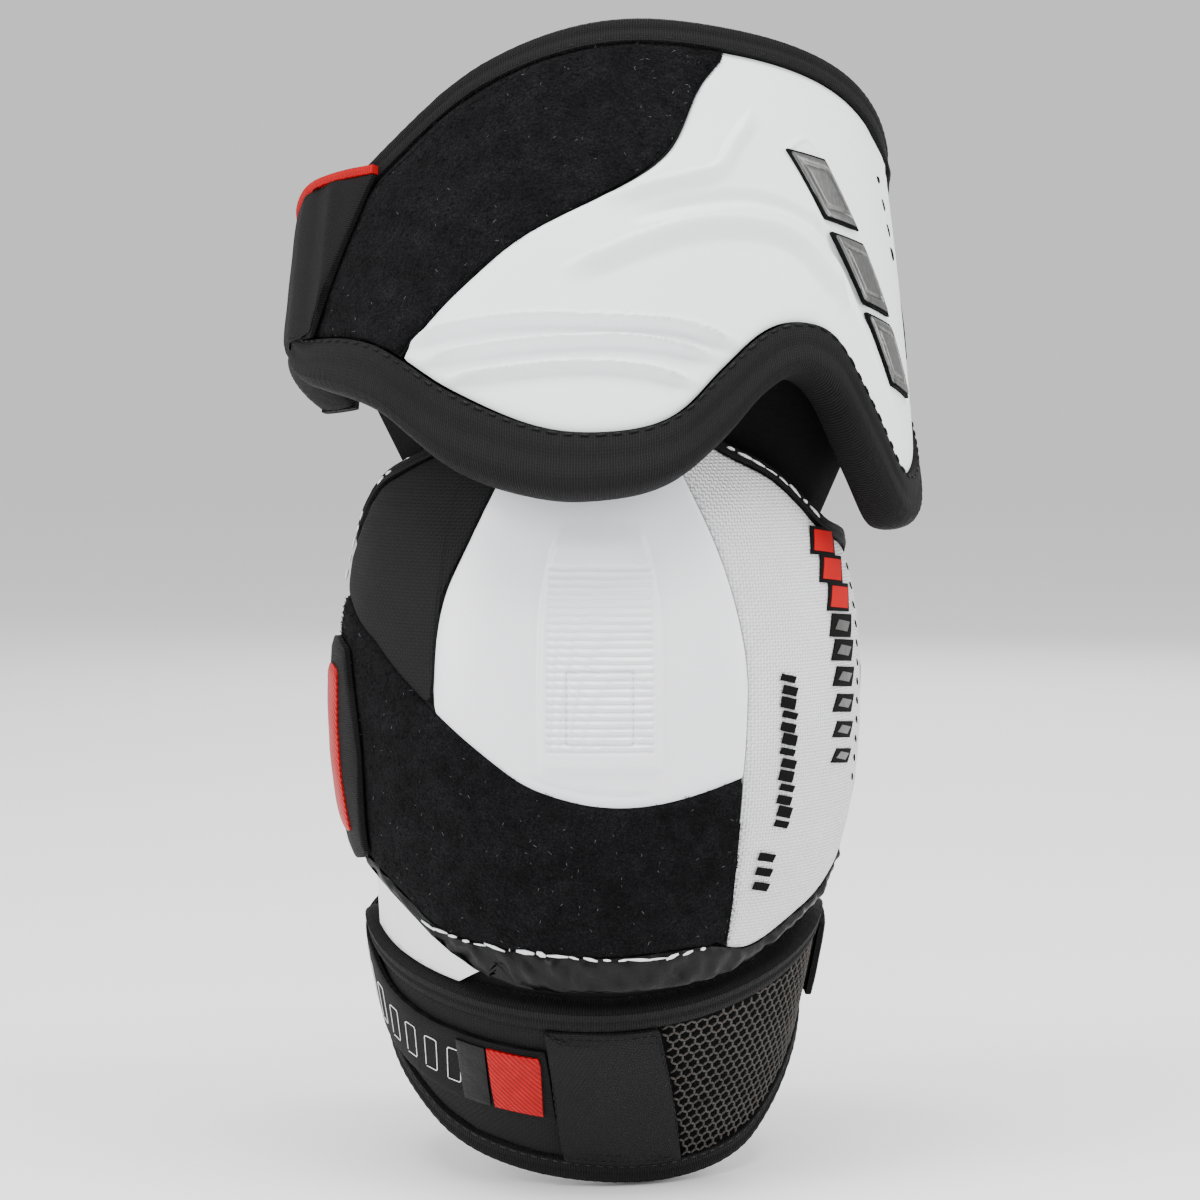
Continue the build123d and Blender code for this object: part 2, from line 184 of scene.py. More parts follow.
guard = Section("upper_arm_mouth", 150, 1, 78, ["guard_moulded_shell", "guard_loop_panel"])
elbow_skins = ["elbow_cap", "elbow_side_panel", "elbow_loop_band", "elbow_woven_panel"]
elbow = Section("arm", 0, 1, 68, elbow_skins)
cuff = Section("forearm_mouth", -118, -1, 57, ["cuff_left_panel", "cuff_mesh_panel"])


def extremes(x0, x1, y0, y1, levels):
    """Lowest and highest y where the edges cross each level of x."""
    low, high = np.full(len(levels), np.nan), np.full(len(levels), np.nan)
    for k, level in enumerate(levels):
        cut = (np.minimum(x0, x1) <= level) & (np.maximum(x0, x1) > level)
        if cut.any():
            y = y0[cut] + (y1[cut] - y0[cut]) * (level - x0[cut]) / (x1[cut] - x0[cut])
            low[k], high[k] = y.min(), y.max()
    good = ~np.isnan(low)
    return levels[good], low[good], high[good]


def islands(points, edges):
    """Numbers each vertex by the separate solid that it belongs to, in order of place."""
    _, same = np.unique(np.round(points / 1e-6), axis=0, return_inverse=True)
    label = same.ravel().copy()
    for _ in range(400):
        low = np.minimum(label[edges[:, 0]], label[edges[:, 1]])
        new = label.copy()
        np.minimum.at(new, edges[:, 0], low)
        np.minimum.at(new, edges[:, 1], low)
        root = np.full(same.max() + 1, label.max() + 1)
        np.minimum.at(root, same.ravel(), new)
        new = root[same.ravel()]
        if (new == label).all():
            break
        label = new
    names = np.unique(label)
    centres = [points[label == n].mean(axis=0) for n in names]
    order = np.argsort([c[2] + 3 * c[0] for c in centres])
    number = {names[k]: i for i, k in enumerate(order)}
    return np.array([number[n] for n in label])


class Outline:
    """The outline of a CAD node's outer face, as angles and heights on its section."""

    def __init__(self, section, node, cut=-180, island=None):
        points, edges = mesh_arrays(frame["nodes"][node])
        a, h, d = section.places(points, cut)
        near = d < np.quantile(d, 0.02) + 0.4
        keep = near[edges[:, 0]] & near[edges[:, 1]]
        keep &= np.abs(a[edges[:, 0]] - a[edges[:, 1]]) < 40
        if island is not None:
            keep &= islands(points, edges)[edges[:, 0]] == island
        e0, e1 = edges[keep, 0], edges[keep, 1]
        self.section = section
        self.face = float(np.quantile(d, 0.02))
        self.back = float(np.quantile(d, 0.98))
        used = np.concatenate([a[e0], a[e1]])
        span = np.arange(math.ceil(used.min() * 2) / 2, used.max(), 0.5)
        self.angles, self.low, self.high = extremes(a[e0], a[e1], h[e0], h[e1], span)
        tall = np.concatenate([h[e0], h[e1]])
        steps = np.arange(math.ceil(tall.min() * 2) / 2, tall.max(), 0.5)
        self.heights, self.left, self.right = extremes(h[e0], h[e1], a[e0], a[e1], steps)
        self.below = self.above = None

    def between(self, below, above):
        """Takes the panel's lower and upper lines from the longer bands that it is sewn to."""
        self.below, self.above = below, above
        return self

    def lower(self, a):
        if self.below is not None:
            return np.interp(a, self.below.angles, self.below.high) + 0.3
        return np.interp(a, self.angles, self.low)

    def upper(self, a):
        if self.above is not None:
            return np.interp(a, self.above.angles, self.above.low) - 0.3
        return np.interp(a, self.angles, self.high)

    def side(self, edge, share):
        """Angles where a side edge crosses each share of the panel's height."""
        h = np.full(len(share), (self.heights[0] + self.heights[-1]) / 2)
        for _ in range(80):
            a = np.interp(h, self.heights, edge)
            line = self.lower(a) + (self.upper(a) - self.lower(a)) * share
            h = (h + line) / 2
        return np.interp(h, self.heights, edge)

    def grid(self, columns, rows, fade=1):
        """Angles and heights of a grid over the panel, and its distance from the edge in mm."""
        share = np.linspace(0, 1, rows)
        starts, ends = self.side(self.left, share), self.side(self.right, share)
        across = np.linspace(0, 1, columns)[:, None]
        a = starts[0] + (ends[0] - starts[0]) * across
        a = a + (starts - starts[0]) * (1 - across) ** fade + (ends - ends[0]) * across ** fade
        low, high = self.lower(a), self.upper(a)
        h = low + (high - low) * share
        wide = np.radians(a[-1] - a[0]) * self.section.radius
        from_side = np.minimum(across, 1 - across) * wide
        from_end = np.minimum(share, 1 - share) * (high - low)
        edge = np.minimum(from_side, from_end)
        return a, h, edge


# ---------------------------------------------------------------- making meshes

def new_object(name, points, faces, uvs=None):
    """A mesh object from points in metres and, where given, a layout in millimetres."""
    mesh = bpy.data.meshes.new(name)
    mesh.from_pydata(np.asarray(points).tolist(), [], faces)
    if uvs is not None:
        layer = mesh.uv_layers.new(name="cloth")
        loops = np.zeros(len(mesh.loops), int)
        mesh.loops.foreach_get("vertex_index", loops)
        layer.data.foreach_set("uv", np.asarray(uvs, np.float32)[loops].ravel())
    mesh.update()
    obj = bpy.data.objects.new(name, mesh)
    bpy.context.scene.collection.objects.link(obj)
    return obj


def outward(obj, sharp=50):
    """Recalculates normals outwards on a closed mesh and smooths its shading."""
    bm = bmesh.new()
    bm.from_mesh(obj.data)
    bmesh.ops.recalc_face_normals(bm, faces=bm.faces)
    bm.to_mesh(obj.data)
    bm.free()
    obj.data.polygons.foreach_set("use_smooth", [True] * len(obj.data.polygons))
    obj.data.set_sharp_from_angle(angle=math.radians(sharp))
    return obj


def quads(columns, rows, offset=0, flip=False):
    """Faces of a grid of points that is numbered row by row in each column."""
    i, j = np.meshgrid(np.arange(columns - 1), np.arange(rows - 1), indexing="ij")
    k = (i * rows + j + offset).ravel()
    ring = np.stack([k, k + rows, k + rows + 1, k + 1], -1)
    return (ring[:, ::-1] if flip else ring).tolist()


def slab(name, section, a, h, proud, inner):
    """A closed layer from an outer face, proud of the wall by some mm, to an inner depth."""
    columns, rows = a.shape
    outer_points = section.wall(a, h, -np.asarray(proud) * np.ones_like(a))
    inner_points = section.wall(a, h, np.asarray(inner) * np.ones_like(a))
    points = np.concatenate([outer_points.reshape(-1, 3), inner_points.reshape(-1, 3)])
    n = columns * rows
    faces = quads(columns, rows) + quads(columns, rows, n, flip=True)
    rim = [j for j in range(rows)] + [i * rows + rows - 1 for i in range(1, columns)]
    rim += [(columns - 1) * rows + j for j in range(rows - 2, -1, -1)]
    rim += [i * rows for i in range(columns - 2, 0, -1)]
    for k, v in enumerate(rim):
        w = rim[(k + 1) % len(rim)]
        faces.append([v, w, w + n, v + n])
    uv = np.stack([np.radians(a) * section.radius, h], -1).reshape(-1, 2)
    return outward(new_object(name, points, faces, np.concatenate([uv, uv])))


def tube_band(name, section, angles, rim, edge, profile, waves):
    """A closed band that follows a rim: a ring of (share from rim to edge, depth) at each angle."""
    share = np.array([p[0] for p in profile])
    depth = np.array([p[1] for p in profile])[None, :] * np.ones((len(angles), 1))
    depth = depth - waves(angles[:, None], share[None, :]) * (depth < 0.5)
    h = rim[:, None] + (edge - rim)[:, None] * share[None, :]
    a = angles[:, None] * np.ones_like(h)
    points = section.wall(a, h, depth)
    columns, ring = a.shape
    faces = []
    for i in range(columns - 1):
        for j in range(ring):
            k = (j + 1) % ring
            faces.append([i * ring + j, (i + 1) * ring + j, (i + 1) * ring + k, i * ring + k])
    faces.append(list(range(ring)))
    faces.append([(columns - 1) * ring + j for j in range(ring)])
    run = np.concatenate([[0], np.cumsum(np.linalg.norm(np.diff(points[:, 0], axis=0), axis=1))]) / MM
    step = np.linalg.norm(np.diff(points[0], axis=0, append=points[0][:1]), axis=1) / MM
    around = np.concatenate([[0], np.cumsum(step)[:-1]])
    uv = np.stack(np.broadcast_arrays(run[:, None], around[None, :]), -1).reshape(-1, 2)
    return outward(new_object(name, points.reshape(-1, 3), faces, uv))


def smooth_line(points, steps=10):
    """A smooth curve through a few (angle, height) points."""
    p = np.array(points, float)
    ends = np.concatenate([[2 * p[0] - p[1]], p, [2 * p[-1] - p[-2]]])
    out = []
    for k in range(len(p) - 1):
        p0, p1, p2, p3 = ends[k:k + 4]
        for t in np.linspace(0, 1, steps, endpoint=False):
            out.append(0.5 * (2 * p1 + (p2 - p0) * t + (2 * p0 - 5 * p1 + 4 * p2 - p3) * t * t
                              + (3 * p1 - p0 - 3 * p2 + p3) * t ** 3))
    out.append(p[-1])
    return np.array(out)


def line_distance(section, a, h, line):
    """Signed distance in mm from a grid to a curve on the wall, and how far along it, 0 to 1."""
    scale = math.radians(1) * section.radius
    x, y = a * scale, h
    best = np.full(a.shape, 1e9)
    sign = np.ones(a.shape)
    along = np.zeros(a.shape)
    count = len(line) - 1
    for k in range(count):
        x0, y0, x1, y1 = line[k][0] * scale, line[k][1], line[k + 1][0] * scale, line[k + 1][1]
        dx, dy = x1 - x0, y1 - y0
        t = np.clip(((x - x0) * dx + (y - y0) * dy) / (dx * dx + dy * dy), 0, 1)
        d = np.hypot(x - x0 - t * dx, y - y0 - t * dy)
        nearer = d < best
        best = np.where(nearer, d, best)
        sign = np.where(nearer, np.sign(dx * (y - y0) - dy * (x - x0)), sign)
        along = np.where(nearer, (k + t) / count, along)
    return best * sign, along


def ridge(section, a, h, points, height, above, below, taper=0.12):
    """A raised line on a wall, with its own width on each side, that fades out at its ends."""
    d, along = line_distance(section, a, h, smooth_line(points))
    width = np.where(d > 0, above, below)
    bump = np.clip(1 - np.abs(d) / width, 0, 1)
    bump = bump * bump * (3 - 2 * bump)
    fade = np.clip(np.minimum(along, 1 - along) / taper, 0, 1) if taper else 1
    return height * bump * fade


def ripple(a, h, size, amount, seed):
    """Gentle unevenness of a hand-made soft surface."""
    waves = np.random.default_rng(seed)
    total = np.zeros(np.broadcast(a, h).shape)
    for _ in range(9):
        turn, phase = waves.uniform(0, math.tau, 2)
        k = math.tau / (size * waves.uniform(0.6, 1.6))
        total = total + np.sin((a * 1.2 * math.cos(turn) + h * math.sin(turn)) * k + phase)
    return total * amount / 3


def puff(obj, pinned, pressure, cap, steps=14):
    """Blows a sewn layer up a little by cloth simulation, held where it is sewn down."""
    scene = bpy.context.scene
    group = obj.vertex_groups.new(name="sewn")
    group.add([int(k) for k in np.flatnonzero(pinned)], 1.0, "REPLACE")
    cloth = obj.modifiers.new("cloth", "CLOTH")
    cloth.settings.quality = 4
    cloth.settings.mass = 0.3
    cloth.settings.tension_stiffness = 12
    cloth.settings.compression_stiffness = 12
    cloth.settings.bending_stiffness = 0.4
    cloth.settings.use_pressure = True
    cloth.settings.uniform_pressure_force = pressure
    cloth.settings.effector_weights.gravity = 0
    cloth.settings.vertex_group_mass = "sewn"
    cloth.collision_settings.use_collision = False
    cloth.point_cache.frame_start = 1
    cloth.point_cache.frame_end = steps
    for frame_number in range(1, steps + 1):
        scene.frame_set(frame_number)
    graph = bpy.context.evaluated_depsgraph_get()
    blown = obj.evaluated_get(graph).data
    count = len(obj.data.vertices)
    before, after = np.zeros(count * 3, np.float32), np.zeros(count * 3, np.float32)
    obj.data.vertices.foreach_get("co", before)
    blown.vertices.foreach_get("co", after)
    move = (after - before).reshape(-1, 3)
    length = np.maximum(np.linalg.norm(move, axis=1), 1e-9)[:, None]
    kept = np.where(np.isfinite(move), move * (np.minimum(length, cap * MM) / length), 0.0)
    obj.modifiers.remove(cloth)
    obj.vertex_groups.remove(group)
    obj.data.vertices.foreach_set("co", (before.reshape(-1, 3) + kept).astype(np.float32).ravel())
    obj.data.update()
    scene.frame_set(1)
    return obj


def tucked(edge, reach, drop):
    """How far a surface drops near its sewn edge."""
    return -drop * np.exp(-edge / reach)


# ---------------------------------------------------------------- materials

def new_material(name, base, rough, **sockets):
    """A material with its tree and its shader, which the callers build on."""
    mat = bpy.data.materials.new(name)
    mat.use_nodes = True
    tree = mat.node_tree
    shader = tree.nodes["Principled BSDF"]
    shader.inputs["Base Color"].default_value = (*base, 1)
    shader.inputs["Roughness"].default_value = rough
    for socket, value in sockets.items():
        shader.inputs[socket.replace("_", " ")].default_value = value
    return mat, tree, shader


def node(tree, kind, inputs=None, **settings):
    """Adds a node; an input is either a value or another node's output."""
    made = tree.nodes.new(kind)
    for key, value in settings.items():
        setattr(made, key, value)
    for key, value in (inputs or {}).items():
        if isinstance(value, bpy.types.NodeSocket):
            tree.links.new(value, made.inputs[key])
        else:
            made.inputs[key].default_value = value
    return made


def maths(tree, operation, a, b=0.0, c=0.0):
    """Adds one arithmetic step to a node tree."""
    made = tree.nodes.new("ShaderNodeMath")
    made.operation = operation
    for socket, value in zip(made.inputs, (a, b, c)):
        if isinstance(value, bpy.types.NodeSocket):
            tree.links.new(value, socket)
        else:
            socket.default_value = value
    return made.outputs[0]


def cloth_uv(tree):
    """The piece's own millimetre layout: along and up the cloth."""
    uv = node(tree, "ShaderNodeUVMap", uv_map="cloth").outputs[0]
    split = node(tree, "ShaderNodeSeparateXYZ", {0: uv})
    return uv, split.outputs[0], split.outputs[1]


def noise(tree, scale, detail=3.0, vector=None, rough=0.6):
    """Soft blotches, from 0 to 1, in the object's own space unless a vector is given."""
    if vector is None:
        vector = node(tree, "ShaderNodeTexCoord").outputs["Object"]
    inputs = {"Vector": vector, "Scale": scale, "Detail": detail, "Roughness": rough}
    return node(tree, "ShaderNodeTexNoise", inputs).outputs[0]


def wave(tree, value, pitch):
    """A sine along a value, from 0 to 1."""
    turn = maths(tree, "MULTIPLY", value, math.tau / pitch)
    return maths(tree, "MULTIPLY_ADD", maths(tree, "SINE", turn), 0.5, 0.5)


def arc(tree, value, pitch):
    """Rounded threads side by side along a value, from 0 to 1."""
    turn = maths(tree, "MULTIPLY", value, math.pi / pitch)
    return maths(tree, "ABSOLUTE", maths(tree, "SINE", turn))


def shaded(tree, weave, weave_gain, weave_floor, patchy, patchy_gain, patchy_floor):
    """How light a fabric is: painted shade where its threads sink, times its random uneven wear."""
    # Painted shade: darker where the thread height is low, in the gaps between threads.
    threads = maths(tree, "MULTIPLY_ADD", weave, weave_gain, weave_floor)
    wear = maths(tree, "MULTIPLY_ADD", patchy, patchy_gain, patchy_floor)
    return maths(tree, "MULTIPLY", threads, wear)


def mixed(tree, factor, low, high):
    """A colour between two, by a factor."""
    made = tree.nodes.new("ShaderNodeMix")
    made.data_type = "RGBA"
    tree.links.new(factor, made.inputs[0])
    for socket, value in ((made.inputs[6], low), (made.inputs[7], high)):
        if isinstance(value, bpy.types.NodeSocket):
            tree.links.new(value, socket)
        else:
            socket.default_value = (*value, 1)
    return made.outputs[2]


def coloured(tree, shader, factor, low, high):
    """Blends the base colour between two by a factor."""
    made = mixed(tree, factor, low, high)
    tree.links.new(made, shader.inputs["Base Color"])


def relief(tree, shader, height, distance):
    """Fine surface height, as a bump on the shader's normal."""
    made = node(tree, "ShaderNodeBump", {"Height": height, "Distance": distance})
    tree.links.new(made.outputs[0], shader.inputs["Normal"])


def varied_roughness(tree, shader, source, low, high):
    """Roughness that wanders between two values with a source from 0 to 1."""
    value = node(tree, "ShaderNodeMapRange", {0: source, 3: low, 4: high}).outputs[0]
    tree.links.new(value, shader.inputs["Roughness"])


def woven(name, dark, light, thread, rough=0.75, depth=0.00012, sheen=0.15, skew=0.0, specular=0.35):
    """Plain weave: threads cross over and under at a pitch in mm."""
    mat, tree, shader = new_material(name, dark, rough, Sheen_Weight=sheen, Sheen_Roughness=0.5)
    shader.inputs["Specular IOR Level"].default_value = specular
    _, u, v = cloth_uv(tree)
    u = maths(tree, "MULTIPLY_ADD", v, skew, u)
    warp = arc(tree, u, thread)
    weft = arc(tree, v, thread)
    cell_u = maths(tree, "FLOOR", maths(tree, "DIVIDE", u, thread))
    cell_v = maths(tree, "FLOOR", maths(tree, "DIVIDE", v, thread))
    over = maths(tree, "MODULO", maths(tree, "ABSOLUTE", maths(tree, "ADD", cell_u, cell_v)), 2.0)
    under = maths(tree, "SUBTRACT", 1.0, over)
    shown_warp = maths(tree, "MULTIPLY", warp, over)
    shown_weft = maths(tree, "MULTIPLY", weft, under)
    weave = maths(tree, "ADD", shown_warp, shown_weft)
    fuzz = noise(tree, 900, 3)
    height = maths(tree, "MULTIPLY_ADD", fuzz, 0.5, weave)
    patchy = noise(tree, 45, 3)
    # The colour follows the weave height that also drives the bump: painted shade between the threads,
    # times random uneven wear.
    shade = shaded(tree, weave, 0.6, 0.3, patchy, 0.7, 0.65)
    coloured(tree, shader, shade, dark, light)
    relief(tree, shader, height, depth)
    varied_roughness(tree, shader, patchy, rough - 0.08, rough + 0.1)
    return mat


def ribbed(name, dark, light, pitch, across=True, rough=0.7, depth=0.0002, sheen=0.2):
    """Knitted or woven tape with fine ribs across or along it."""
    mat, tree, shader = new_material(name, dark, rough, Sheen_Weight=sheen, Sheen_Roughness=0.45)
    shader.inputs["Specular IOR Level"].default_value = 0.14
    _, u, v = cloth_uv(tree)
    run, cross = (u, v) if across else (v, u)
    wobble = maths(tree, "MULTIPLY_ADD", noise(tree, 260, 2), pitch * 0.7, run)
    rib = wave(tree, wobble, pitch)
    knit = wave(tree, cross, pitch * 0.8)
    height = maths(tree, "MULTIPLY_ADD", knit, 0.35, rib)
    height = maths(tree, "MULTIPLY_ADD", noise(tree, 1500, 2), 0.4, height)
    patchy = noise(tree, 60, 4)
    # The colour follows the rib height that also drives the bump: painted shade in the valleys between
    # ribs, times random uneven wear.
    shade = shaded(tree, rib, 0.7, 0.2, patchy, 0.9, 0.5)
    coloured(tree, shader, shade, dark, light)
    relief(tree, shader, height, depth)
    varied_roughness(tree, shader, patchy, rough - 0.1, rough + 0.1)
    return mat


def brushed_loop(name):
    """Black loop fabric: a matted pile with a painted highlight on its raised ends, and a little lint.
    """
    mat, tree, shader = new_material(name, (0.001, 0.001, 0.001), 0.95, Sheen_Weight=0.012,
                                     Sheen_Roughness=0.6)
    shader.inputs["Specular IOR Level"].default_value = 0.04
    pile = noise(tree, 1900, 5, rough=0.75)
    place = node(tree, "ShaderNodeTexCoord").outputs["Object"]
    curls = node(tree, "ShaderNodeTexVoronoi", {"Vector": place, "Scale": 900.0})
    height = maths(tree, "SUBTRACT", pile, maths(tree, "MULTIPLY", curls.outputs[0], 0.6))
    matted = noise(tree, 120, 4)
    raised = maths(tree, "MULTIPLY", pile, maths(tree, "MULTIPLY_ADD", matted, 0.6, 0.75))
    # Painted highlight: paler where the pile, which is also the bump height, stands highest.
    tips = maths(tree, "MULTIPLY", maths(tree, "POWER", raised, 4.0), 3.2)
    coloured(tree, shader, tips, (0.0008, 0.0008, 0.001), (0.02, 0.02, 0.022))
    relief(tree, shader, height, 0.0006)
    return mat


def moulded(name, low, high, rough, grain, depth, coat=0.0, mottle=14, specular=0.5):
    """Moulded plastic or foam skin with a fine grain and soft unevenness."""
    mat, tree, shader = new_material(name, low, rough, Coat_Weight=coat, Coat_Roughness=0.25)
    shader.inputs["Specular IOR Level"].default_value = specular
    patchy = noise(tree, mottle, 4)
    coloured(tree, shader, patchy, low, high)
    relief(tree, shader, noise(tree, grain, 4), depth)
    varied_roughness(tree, shader, noise(tree, mottle * 3, 4), rough - 0.07, rough + 0.09)
    return mat


def creased_vinyl(name, base, rough=0.34):
    """Coated vinyl with shallow creases that catch the light."""
    mat, tree, shader = new_material(name, base, rough, Coat_Weight=0.06, Coat_Roughness=0.25)
    shader.inputs["Specular IOR Level"].default_value = 0.14
    grain = noise(tree, 1400, 3)
    crease = noise(tree, 160, 5, rough=0.7)
    height = maths(tree, "MULTIPLY_ADD", grain, 0.25, crease)
    relief(tree, shader, height, 0.0006)
    varied_roughness(tree, shader, noise(tree, 70, 3), rough - 0.1, rough + 0.2)
    coloured(tree, shader, noise(tree, 200, 3), base, [c * 2.2 for c in base])
    return mat


def slanted_print(name, base, stripe, pitch=1.6, slope=0.9):
    """Red print with fine slanted ridges over it."""
    mat, tree, shader = new_material(name, base, 0.5)
    shader.inputs["Specular IOR Level"].default_value = 0.15
    _, u, v = cloth_uv(tree)
    lean = maths(tree, "MULTIPLY_ADD", v, slope, u)
    ridges = wave(tree, lean, pitch)
    patchy = maths(tree, "MULTIPLY", noise(tree, 300, 4), ridges)
    coloured(tree, shader, patchy, base, stripe)
    relief(tree, shader, ridges, 0.0002)
    varied_roughness(tree, shader, patchy, 0.35, 0.6)
    return mat


def brushed_metal(name):
    """Dark trim with long fine brushing up and down it."""
    mat, tree, shader = new_material(name, (0.33, 0.33, 0.34), 0.32, Metallic=0.85)
    coord = node(tree, "ShaderNodeTexCoord").outputs["Object"]
    stretched = node(tree, "ShaderNodeMapping", {"Vector": coord, "Scale": (1.0, 1.0, 0.06)}).outputs[0]
    brush = noise(tree, 1400, 3, vector=stretched)
    coloured(tree, shader, brush, (0.07, 0.07, 0.07), (0.24, 0.24, 0.235))
    relief(tree, shader, brush, 0.00005)
    varied_roughness(tree, shader, noise(tree, 60, 3), 0.25, 0.42)
    return mat


def plain_thread(name, base, sheen=0.2):
    """Twisted sewing thread."""
    mat, tree, shader = new_material(name, base, 0.6, Sheen_Weight=sheen)
    shader.inputs["Specular IOR Level"].default_value = 0.2
    twist = noise(tree, 2600, 2)
    coloured(tree, shader, twist, [c * 0.75 for c in base], base)
    relief(tree, shader, twist, 0.0001)
    varied_roughness(tree, shader, twist, 0.5, 0.75)
    return mat


NIGHT = (0.0006, 0.0006, 0.0006)
INK = (0.0015, 0.0015, 0.0015)
SOOT = (0.004, 0.004, 0.004)
RED_LOW = (0.22, 0.0, 0.001)

M = {
    "shell": moulded("white_shell_skin", (0.84, 0.87, 0.88), (0.90, 0.92, 0.93), 0.38, 2200, 0.00003),
    "cap": moulded("white_cap_plastic", (0.82, 0.83, 0.87), (0.88, 0.89, 0.92), 0.3, 1600, 0.00001,
                   coat=0.15),
    "white_weave": woven("white_nylon", (0.52, 0.52, 0.54), (0.88, 0.88, 0.89), 0.95, rough=0.6,
                         depth=0.0004),
    "black_weave": woven("black_nylon", NIGHT, (0.013, 0.013, 0.0135), 0.95, rough=0.8, sheen=0.0,
                         specular=0.12),
    "loop": brushed_loop("loop_pile"),
    "tape": ribbed("binding_rib", NIGHT, (0.011, 0.0105, 0.011), 0.75, sheen=0.0),
    "elastic": ribbed("elastic_rib", NIGHT, (0.007, 0.0065, 0.007), 0.6, across=False, sheen=0.0),
    "twill": woven("band_twill", NIGHT, (0.019, 0.018, 0.019), 0.55, skew=0.5, depth=0.0003,
                   sheen=0.0, specular=0.12),
    "liner": woven("liner_knit", (0.003, 0.003, 0.003), (0.03, 0.03, 0.032), 0.9, rough=0.85,
                   depth=0.00025, sheen=0.03),
    "foam": moulded("foam_skin", (0.03, 0.03, 0.032), (0.06, 0.06, 0.062), 0.85, 1800, 0.0002),
    "hard": moulded("insert_plastic", (0.7, 0.7, 0.71), (0.78, 0.78, 0.79), 0.4, 1200, 0.00003),
    "hook": ribbed("hook_tape_rib", (0.002, 0.002, 0.002), (0.02, 0.02, 0.02), 1.1, depth=0.0004,
                   sheen=0.0),
    "vinyl": creased_vinyl("black_vinyl_coat", (0.002, 0.002, 0.0022)),
    "dull_vinyl": moulded("matt_vinyl", INK, SOOT, 0.8, 1500, 0.0001, specular=0.08),
    "gusset": moulded("gusset_stretch", INK, (0.006, 0.006, 0.006), 0.85, 1500, 0.0003,
                      specular=0.1),
    "satin": moulded("white_satin", (0.72, 0.72, 0.75), (0.85, 0.85, 0.88), 0.55, 1700, 0.0002),
    "red_tape": ribbed("red_rib", (0.2, 0.0, 0.001), (0.5, 0.001, 0.004), 0.7, sheen=0.0),
    "red_print": slanted_print("red_slant_print", RED_LOW, (0.62, 0.002, 0.006)),
    "red_ink": moulded("red_ink", (0.3, 0.001, 0.002), (0.5, 0.002, 0.004), 0.6, 1800, 0.00002,
                       specular=0.1),
    "black_print": moulded("black_ink", INK, SOOT, 0.75, 1800, 0.00002, specular=0.08),
    "white_print": moulded("white_ink", (0.75, 0.75, 0.76), (0.82, 0.82, 0.83), 0.5, 1800, 0.00002),
    "mesh": ribbed("mesh_thread", (0.005, 0.0046, 0.0042), (0.062, 0.056, 0.052), 0.5, sheen=0.0),
    "metal": brushed_metal("dark_silver_trim"),
    "white_thread": plain_thread("white_thread", (0.82, 0.82, 0.84)),
    "black_thread": plain_thread("black_thread", (0.0035, 0.0035, 0.004), 0.0),
    "grey_thread": plain_thread("grey_thread", (0.03, 0.03, 0.033), 0.0),
    "dust": plain_thread("pale_lint", (0.22, 0.22, 0.23)),
}


def dress(obj, body, slot, material, *nodes):
    """Gives a finished piece its material, its body and the nodes it stands for; its slot is not used.
    """
    obj.data.materials.clear()
    obj.data.materials.append(M[material])
    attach(obj, body)
    if nodes:
        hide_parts(*nodes)
    return obj


# ---------------------------------------------------------------- stitches and other repeats

SAMPLE = 0.2    # mm between the points of a sewn line


def path_points(section, line, proud):
    """Row-frame points, evenly spaced, along (angle, height) points lying on a wall."""
    line = np.asarray(line, float)
    depth = -np.asarray(proud) * np.ones(len(line))
    p = section.wall(line[:, 0], line[:, 1], depth)
    run = np.concatenate([[0], np.cumsum(np.linalg.norm(np.diff(p, axis=0), axis=1))])
    at = np.arange(0, run[-1], SAMPLE * MM)
    return np.stack([np.interp(at, run, p[:, k]) for k in range(3)], -1)


def wall_normals(section, points, cut=-180):
    """Directions straight out of a wall at some points on it."""
    a, h, d = section.places(points, cut)
    far = section.wall(a, h, d - 4)
    away = far - points
    return away / np.linalg.norm(away, axis=1)[:, None]


def place_nodes(name):
    """Geometry Nodes: an instance of a small mesh on every vertex, turned and scaled by attributes."""
    tree = bpy.data.node_groups.new(name, "GeometryNodeTree")
    tree.interface.new_socket("Geometry", in_out="INPUT", socket_type="NodeSocketGeometry")
    tree.interface.new_socket("Shape", in_out="INPUT", socket_type="NodeSocketObject")
    tree.interface.new_socket("Material", in_out="INPUT", socket_type="NodeSocketMaterial")
    tree.interface.new_socket("Geometry", in_out="OUTPUT", socket_type="NodeSocketGeometry")
    source = tree.nodes.new("NodeGroupInput")
    shape = tree.nodes.new("GeometryNodeObjectInfo")
    turn = tree.nodes.new("GeometryNodeInputNamedAttribute")
    turn.data_type = "FLOAT_VECTOR"
    turn.inputs["Name"].default_value = "turn"
    size = tree.nodes.new("GeometryNodeInputNamedAttribute")
    size.data_type = "FLOAT_VECTOR"
    size.inputs["Name"].default_value = "size"
    spread = tree.nodes.new("GeometryNodeInstanceOnPoints")
    solid = tree.nodes.new("GeometryNodeRealizeInstances")
    paint = tree.nodes.new("GeometryNodeSetMaterial")
    result = tree.nodes.new("NodeGroupOutput")
    link = tree.links.new
    link(source.outputs["Shape"], shape.inputs["Object"])
    link(source.outputs["Geometry"], spread.inputs["Points"])
    link(shape.outputs["Geometry"], spread.inputs["Instance"])
    link(turn.outputs[0], spread.inputs["Rotation"])
    link(size.outputs[0], spread.inputs["Scale"])
    link(spread.outputs[0], solid.inputs[0])
    link(solid.outputs[0], paint.inputs["Geometry"])
    link(source.outputs["Material"], paint.inputs["Material"])
    link(paint.outputs[0], result.inputs[0])
    return tree


PLACE = place_nodes("repeat_on_points")


